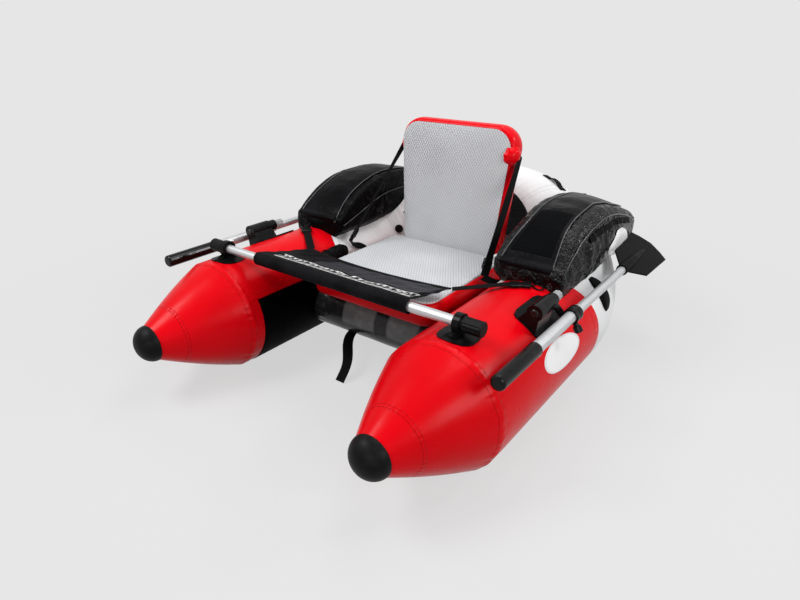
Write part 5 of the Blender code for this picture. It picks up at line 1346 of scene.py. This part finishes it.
def apron_packed(across, back):
    """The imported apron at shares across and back: z = bar - fall (1 - (1 - s)^1.35) - sag +
    ripple, where the sag is 6 mm in the middle."""
    x = across * (SLEEVE_HALF + (APRON_HEM_HALF - SLEEVE_HALF) * back) - 0.024 * back
    y = APRON_START_Y + (APRON_HEM_Y + 0.025 * across ** 2 - APRON_START_Y) * back
    fall = (BAR_Z - APRON_HEM_Z) * (1.0 - (1.0 - back) ** 1.35)
    fade = np.sin(math.pi * back)
    sag = 0.006 * fade * (1.0 - across ** 2)
    ripple = 0.0022 * fade * np.sin(3.0 * math.pi * across + 2.0 * back)
    return np.stack((x, y, BAR_Z - fall - sag + ripple), axis=-1)


def apron_place(across, back):
    """Cloth pulled tight from the sleeve's top at 15 degrees: a straight line to the hem, and a
    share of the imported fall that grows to 0.22 at the hem."""
    cloth = apron_packed(across, back)
    start_y = APRON_WRAP_R * math.sin(APRON_LEAVE)
    start_z = BAR_Z + APRON_WRAP_R * math.cos(APRON_LEAVE)
    stretch = (APRON_HEM_Y - start_y) / (APRON_HEM_Y - APRON_START_Y)
    tight = start_z + (APRON_HEM_Z - start_z) * back
    return coords(cloth[..., 0], start_y + (cloth[..., 1] - APRON_START_Y) * stretch,
                  tight + (cloth[..., 2] - tight) * 0.22 * back)


# %% [markdown]
# The sleeve and the fall are one sheet. Its rows go round the bar first and then back to the hem,
# and the sleeve wrinkles where the bar turns in it. A binding is sewn along the hem. The sheet's
# V is measured down its middle from the sleeve, and its U is its place across.

# %% Apron
WRAP_ROWS, FALL_ROWS, APRON_COLUMNS = 56, 62, 181


def apron():
    """Sleeve of radius r + 0.9 mm of wrinkles round the bar, joined to the fall behind it."""
    across = np.linspace(-1.0, 1.0, APRON_COLUMNS)[None, :]
    round_bar = np.linspace(math.radians(-262.0), APRON_LEAVE, WRAP_ROWS)[:, None]
    back = np.linspace(0.02, 1.0, FALL_ROWS)[:, None]
    wrinkle = np.sin(across * 44.0 + round_bar * 2.0 + 3.0 * np.sin(across * 9.0))
    wrinkle = wrinkle * np.sin(across * 17.0) ** 2
    wrap_r = APRON_WRAP_R + 0.0009 * wrinkle * np.sin(round_bar - APRON_LEAVE)
    wrapped = coords(SLEEVE_HALF * across, wrap_r * np.sin(round_bar),
                     BAR_Z + wrap_r * np.cos(round_bar))
    cloth = np.concatenate((wrapped, apron_place(across, back)))
    rows = np.arange(len(cloth))
    creases = waves(cloth * np.array((1.0, 0.5, 1.0)), (0.16, 0.07, 0.035), 21)
    fade = smooth(rows, WRAP_ROWS, 72.0) * (1.0 - smooth(rows, 100.0, 118.0))
    cloth[..., 2] += 0.0042 * creases * fade[:, None]
    down_middle = lengths(cloth[:, APRON_COLUMNS // 2])
    uv = coords(cloth[..., 0], (down_middle - down_middle[WRAP_ROWS])[:, None])
    made = shell("apron_cloth", cloth, 0.0009, APRON, uv)
    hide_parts("apron", "crossbar_sleeve")
    hem = cloth[-3, ::4] + np.array((0.0, 0.0, -0.0003))
    binding = ribbon("apron_binding", hem, (0.0, 1.0, -0.2), 0.016, 0.0036, WEBBING)
    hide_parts("apron")


apron()

# %% [markdown]
# Two webbing straps hold the seat back up. The back folds, so a strap can't simply ride with it,
# and here it rides on no body: its points are baked where they stand. The strap is turned a little
# towards the front on its way down, as the real one hangs. The ladder buckle near its foot and the
# loose end beyond it stay with the hull.

# %% Straps of the seat back
WIDTH, THICK = 0.025, 0.0016
STRAP_HEAD_X, STRAP_HEAD_DEPTH, STRAP_HEAD_OUT = 0.2083, 0.0373, 0.0062
STRAP_FOOT_X, STRAP_FOOT_Y, STRAP_FOOT_Z = 0.252, 0.378, 0.3050
STRAP_TWIST = math.radians(30.0)
BUCKLE_HALF_X, BUCKLE_HALF_Y, BUCKLE_FROM_FOOT = 0.0155, 0.016, 0.035
# Places along the strap from the buckle, and out of it.
SPARE_END = ((-0.03, 0.0022), (-0.012, 0.0045), (0.004, 0.0050), (0.022, 0.0052), (0.036, 0.0044))


def back_strap(label, side):
    """Strap: head + (foot - head) s, bowed out by 1.5 mm, with a ladder buckle near its foot."""
    head = back_place(np.array([[side * STRAP_HEAD_X, STRAP_HEAD_UP]]), STRAP_HEAD_DEPTH)[0]
    head = head + np.array((side * STRAP_HEAD_OUT, 0.0, 0.0))
    foot = np.array((side * STRAP_FOOT_X, STRAP_FOOT_Y, STRAP_FOOT_Z))
    share = np.linspace(0.0, 1.0, 40)
    path = head + (foot - head) * share[:, None]
    path[:, 0] += side * 0.0015 * np.sin(math.pi * share)
    turned = STRAP_TWIST * np.minimum(1.0, 3.0 * share)
    across = np.cross(foot - head, coords(side * np.cos(turned), -np.sin(turned), 0.0))
    strap = ribbon("back_strap_" + label, path, across, WIDTH, THICK, WEBBING, body=None)
    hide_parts("backrest_strap_" + label)
    start, end = at_bar(np.array((foot + (head - foot) * 0.16, head))).tolist()
    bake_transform(strap)
    down, wide = unit(foot - head), unit(across[-1])
    facing = np.cross(down, wide)
    facing = side * unit(facing) * np.sign(facing[0])
    back_buckle(label, foot, down, wide, facing)
    print("the %s strap is %.0f mm long" % (label, np.linalg.norm(foot - head) * 1000.0))


def back_buckle(label, foot, down, wide, facing):
    """Ladder buckle: a closed frame with a bar across it, and the strap's loose end over both."""
    centre = foot - down * BUCKLE_FROM_FOOT
    corners = [centre + down * a * BUCKLE_HALF_Y + wide * b * BUCKLE_HALF_X
               for a, b in ((-1.0, -1.0), (-1.0, 1.0), (1.0, 1.0), (1.0, -1.0))]
    share = np.linspace(0.08, 0.92, 6)[:, None]
    outline = [corner + (following - corner) * share
               for corner, following in zip(corners, corners[1:] + corners[:1])]
    rung = [centre + wide * b + facing * 0.0018
            for b in np.linspace(-BUCKLE_HALF_X, BUCKLE_HALF_X, 5)]
    spare = [centre + down * a + facing * b for a, b in SPARE_END]
    around = tube("back_buckle_" + label, np.concatenate(outline), 0.0022, PLASTIC, closed=True,
                  sides=10)
    bar = tube("back_buckle_bar_" + label, rung, 0.0020, PLASTIC)
    tail = ribbon("back_strap_end_" + label, eased(spare), wide, WIDTH, 0.0014, WEBBING)
    for piece, slot in ((around, "black_plastic"), (bar, "black_plastic"), (tail, "webbing")):
        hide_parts("backrest_strap_" + label)


for label, side in SIDES.items():
    back_strap(label, side)

# %% [markdown]
# A tab on the tube holds the foot of the back's strap. It is webbing welded flat to the skin, and
# only its last part lifts off. Its path is written in the hull's own terms, a place along Y, an
# angle round the tube and a lift, so it lies on the skin for as long as the lift is small.

# %% Tabs of the straps
# Place along Y, degrees from straight up, and lift off the skin.
TAB_LAY = ((0.492, -72.0, 0.0012), (0.478, -64.0, 0.0014), (0.462, -56.0, 0.0014),
           (0.44, -50.0, 0.0016), (0.415, -50.0, 0.0098))
TAB_END_Z = 0.3024


def strap_tab(label, side):
    """Tab along eased points of the skin, which rises from it to the foot of the back's strap."""
    points = [skin(side, y, math.radians(angle), lift) for y, angle, lift in TAB_LAY]
    points.append(np.array((side * STRAP_FOOT_X, STRAP_FOOT_Y, TAB_END_Z)))
    angle = math.radians(TAB_LAY[-1][1])
    across = (side * math.cos(angle), 0.0, -math.sin(angle))
    made = ribbon("strap_tab_web_" + label, eased(points), across, WIDTH, THICK, WEBBING)
    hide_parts("strap_tab_" + label)


for label, side in SIDES.items():
    strap_tab(label, side)

# %% [markdown]
# A corner strap of the apron runs from the hem over the tube's shoulder to a side release buckle,
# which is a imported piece. Pulled tight, it is straight wherever the tube allows, and otherwise it
# lies on the tube: the larger of two heights. The ring that it clips to sits on a round patch.

# %% Corner straps of the apron
PATCH_Y, PATCH_ANGLE, PATCH_R = 0.346, math.radians(12.5), 0.0265
BUCKLE_FROM_RING, BUCKLE_LENGTH, BUCKLE_IN_Z = 0.0131, 0.062, 0.3363


def apron_strap(label, side):
    """Corner strap: a straight line from the apron's corner to the buckle, or the tube's skin
    plus 2.2 mm where that is higher."""
    ring = skin(side, PATCH_Y, PATCH_ANGLE, 0.0044)
    corner = apron_packed(np.array(side), np.array(1.0)) - np.array((0.0, 0.0, 0.0015))
    heading = np.array((ring[0] - corner[0], ring[1] - corner[1], 0.0))
    reach = np.linalg.norm(heading)
    heading /= reach
    share = np.linspace(0.0, 1.0, 40)
    end = reach - BUCKLE_FROM_RING - BUCKLE_LENGTH
    path = corner + heading * (0.002 + (end - 0.0023) * share)[:, None]
    angle = np.arcsin(np.clip((np.abs(path[:, 0]) - TUBE_X) / (SKIN_R + 0.002), -1.0, 1.0))
    over = TUBE_Z + (SKIN_R + 0.0022) * np.cos(angle)
    path[:, 2] = np.maximum(corner[2] + (BUCKLE_IN_Z - corner[2]) * share, over)
    across = np.cross((0.0, 0.0, 1.0), heading)
    made = ribbon("apron_strap_web_" + label, path, across, WIDTH, THICK, WEBBING)
    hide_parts("apron_strap_" + label)


def tie_patch(label, side):
    """Round red patch under the ring that the apron's strap clips to."""
    made = patch("tie_patch_disc_" + label, side, PATCH_ANGLE, PATCH_Y, PATCH_R, PATCH_R, 0.0002,
                 0.0012, RED)
    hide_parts("tie_patch_" + label)


for label, side in SIDES.items():
    apron_strap(label, side)
    tie_patch(label, side)

# %% [markdown]
# A stowed oar lies over a padded strap on the stern tube. It is a pillow on a curved skin, thick
# in its middle and thin at its welded ends, so its thickness is a lift off the skin, worked out
# from how far a point is from the middle.

# %% Oar keepers
KEEPER_FROM, KEEPER_TO, KEEPER_Y, KEEPER_HALF = 36.5, 74.0, 0.566, 0.022


def keeper(label, side):
    """Padded strap across the stern tube: lift = (2 mm + 11 mm (1 - off^2)) (1 - |along|^5)^0.5,
    where off is the distance from its middle and along goes from edge to edge."""
    angle = np.radians(np.linspace(KEEPER_FROM, KEEPER_TO, 41))[None, :]
    middle, reach = (KEEPER_FROM + KEEPER_TO) / 2.0, (KEEPER_TO - KEEPER_FROM) / 2.0
    off = np.abs(angle - np.radians(middle)) / np.radians(reach)
    half = KEEPER_HALF * (1.0 - off ** 4 / 2.0)
    along = np.linspace(-1.0, 1.0, 17)[:, None]
    thickness = 0.002 + 0.011 * (1.0 - off ** 2)
    lift = thickness * (1.0 - np.abs(along) ** 5) ** 0.5 + 0.0006
    grid = skin(side, KEEPER_Y + half * along, angle, lift)
    uv = coords(angle * TUBE_R, along * KEEPER_HALF)
    made = surface("oar_keeper_pad_" + label, grid, WEBBING, uv)
    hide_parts("oar_keeper_" + label)


for label, side in SIDES.items():
    keeper(label, side)

# %% [markdown]
# A roll of black cloth is tucked between the left tube and the seat. It isn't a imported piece. A
# roll is never quite round, so its radius has two slow waves, and it is pushed clear of the tube.
# Its ties are rings of thin webbing.

# %% Rolled cloth
ROLL_R, ROLL_TIES = 0.021, (0.258, 0.326)


def rolled_cloth():
    """Roll of radius r (1 - |2 s - 1|^9)^0.5 (1 + two waves round it) along a short path."""
    turn = circle(64)
    share = np.linspace(0.0, 1.0, 46)[:, None]
    full = (1.0 - np.abs(2.0 * share - 1.0) ** 9) ** 0.5
    radius = ROLL_R * full * (1.0 + 0.05 * np.sin(turn * 2.0 + share * 5.0)
                              + 0.03 * np.sin(turn * 5.0 + share * 17.0))
    grid = coords(-0.2480 - 0.004 * share + radius * np.cos(turn), 0.232 + 0.122 * share,
                  0.2830 + 0.006 * np.sin(math.pi * share) + radius * np.sin(turn))
    made = surface("rolled_cloth", clear_of_hull(grid, 0.0006), BAG_LOOKS["left"],
                   wrap=(False, True), caps=(True, True))
    turn = turn[::2]
    for place in ROLL_TIES:
        ring = coords(-0.2495 + 0.0222 * np.cos(turn), place, 0.2872 + 0.0222 * np.sin(turn))
        name = "rolled_cloth_tie_%d" % round(place * 1000)
        tube(name, ring, 0.0016, WEBBING, closed=True)


rolled_cloth()

# %% [markdown]
# The carry handle on the stern is a loop of webbing, flat at its feet and raised between them, so
# that a hand fits under it. The tail under the front beam is the spare end of a strap. It hangs
# from the beam and reaches the floor, on a path that starts flat and ends steep.

# %% Handle and tail
HANDLE_TURN, HANDLE_ANGLE = math.pi * 0.375, math.radians(360.0 / 28.0)
HANDLE_REACH, HANDLE_RISE = 0.0425, 0.006
# Shares of the handle's reach and of its rise.
HANDLE_SHAPE = ((-1.0, 0.0), (-0.78, 0.0), (-0.55, 0.0), (-0.3, 1.0), (0.0, 1.1), (0.3, 1.0),
                (0.55, 0.0), (0.78, 0.0), (1.0, 0.0))
FRONT_BEAM_Y, REAR_BEAM_Y, TAIL_END_Y = 0.2445, 0.488, 0.062
SEAT_UNDER_Z, BEAM_DEEP = 0.2147, 0.144


def handle():
    """Loop on the bend: centre + (skin + rise) times its slanted upward direction."""
    path, across = [], []
    for reach, height in HANDLE_SHAPE:
        centre, outward, upward = bend_frame(HANDLE_TURN + reach * HANDLE_REACH / BEND_LENGTH)
        normal = math.sin(HANDLE_ANGLE) * outward + math.cos(HANDLE_ANGLE) * upward
        path.append(centre + (SKIN_R + 0.0020 + height * HANDLE_RISE) * normal)
        across.append(math.cos(HANDLE_ANGLE) * outward - math.sin(HANDLE_ANGLE) * upward)
    made = ribbon("stern_handle_web", eased(path), np.mean(across, axis=0), 0.024, 0.0030, WEBBING)
    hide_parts("stern_handle")


def beam_tail():
    """Tail that falls as s^3 from under the beam to the floor, and drifts sideways by a half
    cosine."""
    share = np.linspace(0.0, 1.0, 60)
    drift = 0.5 - 0.5 * np.cos(math.pi * share)
    under = SEAT_UNDER_Z - BEAM_DEEP - 0.0011
    path = coords(-0.125 + 0.095 * drift + 0.003 * np.sin(share * 11.0) * share,
                  FRONT_BEAM_Y + (TAIL_END_Y - FRONT_BEAM_Y) * share,
                  under + (0.003 - under) * share ** 3)
    made = ribbon("beam_tail_web", path, (1.0, 0.0, 0.0), 0.032, THICK, WEBBING)
    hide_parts("beam_tail")


handle()
beam_tail()

# %% [markdown]
# Two inflated beams carry the seat. Each ends on the curved skin of both pontoons, so its length
# depends on the height of the point, and it puckers where it is welded there. The scuff panels
# are thin sheets on the pontoons' inner sides, with an edge that drops to the skin.

# %% Beams and scuff panels
BEAM_R, BEAM_Z = 0.072, 0.1425
PANEL_FRONT_Y, PANEL_REAR_Y, PANEL_EDGE = -0.03, 0.475, 0.004


def beam(name, y):
    """Beam of radius r + puckers - waves, from the left skin to the right: its half length is
    tube X - (skin^2 - height^2)^0.5."""
    turn = circle(96)
    height = BEAM_Z + BEAM_R * np.cos(turn)
    reach = TUBE_X - np.sqrt(np.maximum((SKIN_R + 0.0016) ** 2 - (height - TUBE_Z) ** 2, 0.0))
    share = np.linspace(-1.0, 1.0, 121)[:, None]
    x = share * reach
    pull = smooth(np.abs(share), 0.72, 1.0)
    ridge = np.sin(turn * 13.0 + 2.0 * np.sin(turn * 3.0)) * pull * 0.0016
    slow = waves(coords(x, 0.05 * np.sin(turn), 0.05 * np.cos(turn)), (0.16,), 31)
    radius = BEAM_R - 0.0018 + ridge - 0.0012 * np.abs(slow)
    grid = coords(x, y + radius * np.sin(turn), BEAM_Z + radius * np.cos(turn))
    uv = coords(np.append(turn, 2.0 * math.pi) * BEAM_R, share * 0.25)
    made = surface(name + "_skin", grid, BEAM_CLOTH, uv, wrap=(False, True),
                   caps=(True, True))
    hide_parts(name)


def inner_panel(label, side):
    """Scuff panel on the skin, 1.5 mm thick, which thins to its rim as the root of the distance."""
    angle = np.radians(np.linspace(-163.0, -61.9, 61))[None, :]
    y = np.linspace(PANEL_FRONT_Y, PANEL_REAR_Y, 60)[:, None]
    rim = np.minimum(np.minimum(y - PANEL_FRONT_Y, PANEL_REAR_Y - y), PANEL_EDGE) / PANEL_EDGE
    grid = skin(side, y, angle, 0.0003 + 0.0012 * rim ** 0.5)
    made = surface("inner_panel_skin_" + label, grid, PANEL_CLOTH,
                   coords(angle * TUBE_R, y))
    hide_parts("inner_panel_" + label)


beam("front_beam", FRONT_BEAM_Y)
beam("rear_beam", REAR_BEAM_Y)
for label, side in SIDES.items():
    inner_panel(label, side)

# %% [markdown]
# Behind the seat a sheet of nylon is welded inside the bend of the stern and carries luggage. Its
# rear edge is the line where it meets the tube, its front edge is straight, and it sags between.
# It is stretched, so the sag is a product of two half sines, with no need for a simulation.

# %% Cargo deck
DECK_ANGLE, DECK_FRONT_Y = math.radians(-42.0), 0.675


def deck():
    """Sheet: front + (edge - front) s, with a sag of sin(pi s) sin(pi across)."""
    turns = np.linspace(0.0, math.pi, 4001)
    centre, outward, upward = bend_frame(turns)
    normal = math.sin(DECK_ANGLE) * outward + math.cos(DECK_ANGLE) * upward
    edge = centre + (SKIN_R + 0.0004) * normal
    inside = np.nonzero(edge[:, 1] > DECK_FRONT_Y)[0]
    edge = edge[inside[0]:inside[-1] + 1][::24]
    front = edge.copy()
    front[:, 1] = edge[0, 1] - 0.0003
    front[:, 2] = edge[0, 2]
    share = np.linspace(0.0, 1.0, 40)[:, None, None]
    grid = front[None] + (edge - front)[None] * share
    across = np.linspace(0.0, 1.0, len(edge))
    middle = np.sin(math.pi * share[..., 0]) * np.sin(math.pi * across)[None, :]
    grid[..., 2] += middle * (-0.004 + 0.002 * waves(grid, (0.12, 0.07), 41))
    made = shell("cargo_cloth", grid, 0.0012, NYLON, grid[..., :2])
    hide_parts("cargo_deck")
    width = abs(float(edge[0, 0] - edge[-1, 0]))
    depth = float(edge[:, 1].max() - edge[0, 1])
    0.75 * width * depth


deck()

# %% [markdown]
# The nose caps are moulded rubber cups with a rolled rim and a domed end. A moulded cup is turned
# on an axis, so it is one profile, of places along the axis and radii, carried round. The oval
# badge on the right pontoon is bare.

# %% Nose caps and the bare badge
CUP_R, CUP_LENGTH, CUP_WALL = 0.0515, 0.043, 0.0003
OVAL_ANGLE, OVAL_Y, OVAL_TURN = math.radians(72.2), 0.2555, 0.0755


def nose_cap(label, side):
    """Cup of revolution: a rolled rim, and then along = length sin t, radius = r cos(t)^0.96."""
    profile = [(CUP_WALL, 0.0485), (CUP_WALL, CUP_R - 0.0012), (0.0006, CUP_R - 0.0003),
               (0.0016, CUP_R)]
    profile += [(CUP_WALL + (CUP_LENGTH - CUP_WALL) * math.sin(t), CUP_R * math.cos(t) ** 0.96)
                for t in np.linspace(0.06, math.pi / 2.0 - 0.02, 26)]
    along, radius = np.array(profile).T[..., None]
    turn = circle(96)
    grid = coords(side * (TUBE_X - NOSE_TOE_IN) + radius * np.cos(turn), CONE_FRONT_Y - along,
                  TUBE_Z + NOSE_RISE + radius * np.sin(turn))
    made = surface("nose_cup_" + label, grid, RUBBER, wrap=(False, True),
                   caps=(False, True))
    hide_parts("nose_cap_" + label)


for label, side in SIDES.items():
    nose_cap(label, side)
oval = patch("bare_oval", 1.0, OVAL_ANGLE, OVAL_Y, 0.0410, 0.1035, 0.0001, 0.0009, WHITE,
             turn=OVAL_TURN)

# %% [markdown]
# The floor and the background show as one pale grey. More light would wash out the craft, so the
# paleness is in the floor's own material and in the world, and only for rays from the camera, in
# reflections and through glass. To all other light the floor is darker, which keeps the blacks
# deep. Part of the floor's paleness is still lit, so the craft keeps its soft shadow.

# %% Floor and background
PALE, COOL = (0.79, 0.79, 0.79), (0.95, 0.97, 1.0)
FLOOR_GREY, FLOOR_DARK = (0.62, 0.62, 0.62), (0.30, 0.30, 0.30)
FLOOR_Z, FLOOR_RADII = -0.0004, (0.01, 0.5, 1.0, 2.0, 4.0, 8.0)


def plain_rays(nodes):
    """1 for camera, glossy and transmission rays: the largest of the three."""
    camera, glossy, through = (
        nodes.node("ShaderNodeLightPath", output="Is %s Ray" % kind)
        for kind in ("Camera", "Glossy", "Transmission"))
    return camera.most(glossy).most(through)


def pale_floor():
    """Floor finish: a lit grey and a pale glow, shared by distance, for plain rays; a dark grey
    for all others."""
    look = Look("pale_floor")
    far = (look.x * look.x + look.y * look.y) ** 0.5
    look.done(FLOOR_GREY, 0.9, Specular_IOR_Level=0.1)
    lit = Field(look, look.shader.outputs[0])
    glow = look.node("ShaderNodeEmission", sockets={"Color": PALE})
    share = 0.76 + far.ramp(0.8, 1.9) * 0.24
    seen = look.node("ShaderNodeMixShader", sockets={0: share, 1: lit, 2: glow})
    dim = look.node("ShaderNodeBsdfDiffuse", sockets={"Color": FLOOR_DARK})
    chosen = look.node("ShaderNodeMixShader", sockets={0: plain_rays(look), 1: dim, 2: seen})
    look.plug(look.tree.nodes["Material Output"].inputs["Surface"], chosen)
    return look.material


def floor():
    """Round floor: rings of radius (cos t, sin t) about the origin, closed in the middle."""
    turn = circle(96)
    radii = np.array(FLOOR_RADII)[:, None]
    grid = coords(radii * np.cos(turn), radii * np.sin(turn), FLOOR_Z)
    rows, columns = grid.shape[:2]
    i, j = np.meshgrid(np.arange(rows - 1), np.arange(columns), indexing="ij")
    j2 = (j + 1) % columns
    quads = (i * columns + j, i * columns + j2, (i + 1) * columns + j2, (i + 1) * columns + j)
    faces = np.stack(quads, axis=-1).reshape(-1, 4).tolist()
    mesh = bpy.data.meshes.new("floor")
    mesh.from_pydata(grid.reshape(-1, 3).tolist(), [], faces + [list(range(columns))[::-1]])
    mesh.materials.append(pale_floor())
    add_object("floor", mesh)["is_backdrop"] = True


def background():
    """World of pale grey for plain rays, and of weak cool light for all others."""
    world = bpy.data.worlds.new("studio")
    bpy.context.scene.world = world
    world.use_nodes = True
    world.node_tree.nodes.clear()
    nodes = Nodes(world.node_tree)
    light, back = (
        nodes.node("ShaderNodeBackground", sockets={"Color": colour, "Strength": strength})
        for colour, strength in ((COOL, 0.15), (PALE, 1.0)))
    chosen = nodes.node("ShaderNodeMixShader", sockets={0: plain_rays(nodes), 1: light, 2: back})
    output = world.node_tree.nodes.new("ShaderNodeOutputWorld")
    nodes.plug(output.inputs["Surface"], chosen)


floor()
background()

# %% [markdown]
# Five soft rectangular lamps light the craft plainly: a key from the front left, a wide one from
# above, and weaker ones for the sides and the rim. A lamp shines along its own -Z, so it is turned
# by two angles that come from the line to its aim.

# %% Lamps
# Name, place, aim, size and power in watts.
LAMPS = (
    ("key", (-1.3, -1.6, 2.6), (0.0, 0.0, 0.2), (1.3, 1.0), 66.0),
    ("top", (0.3, 0.5, 2.6), (0.0, 0.1, 0.2), (2.2, 1.0), 30.0),
    ("side", (2.4, -0.4, 1.3), (0.2, 0.0, 0.2), (1.2, 0.8), 26.0),
    ("front", (0.9, -2.6, 0.9), (0.0, 0.0, 0.2), (1.4, 0.5), 14.0),
    ("rim", (1.9, 1.4, 1.9), (0.2, 0.1, 0.3), (0.5, 0.3), 16.0),
)


def lamp(name, place, aim, size, power):
    """Rectangular lamp at a place, turned so that its front faces the aim."""
    data = bpy.data.lights.new(name, "AREA")
    data.shape = "RECTANGLE"
    data.size, data.size_y = size
    data.energy = power
    heading = np.array(aim) - np.array(place)
    yaw = math.atan2(heading[1], heading[0]) - math.pi / 2.0
    pitch = math.atan2(np.linalg.norm(heading[:2]), -heading[2])
    made = add_object(name, data)
    made.location = place
    made.rotation_euler = (pitch, 0.0, yaw)


for row in LAMPS:
    lamp(*row)

# %% [markdown]
# The camera stands where the photograph was taken from. It was solved from straight edges whose
# directions are known: the crossbar, the two parallel pontoons and the level floor. The colours
# are shown as they are written, with no film look.

# %% Camera
CAMERA_PLACE = (0.99501, -1.39728, 0.95027)
CAMERA_TILT, CAMERA_TURN, CAMERA_LENS = math.radians(65.16), math.radians(36.92), 26.44


def camera():
    """Camera of the photograph."""
    data = bpy.data.cameras.new("camera")
    data.lens = CAMERA_LENS
    data.sensor_width = 36.0
    data.clip_start = 0.01
    made = add_object("camera", data)
    made.location = CAMERA_PLACE
    made.rotation_euler = (CAMERA_TILT, 0.0, CAMERA_TURN)
    bpy.context.scene.camera = made


camera()
bpy.context.scene.view_settings.view_transform = "Standard"

# %% [markdown]
# Last, the box of the dressed part, without the floor, is printed.

# %% Finish
low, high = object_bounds()
print("dressed part: %.3f x %.3f x %.3f m" % tuple(np.subtract(high, low)))
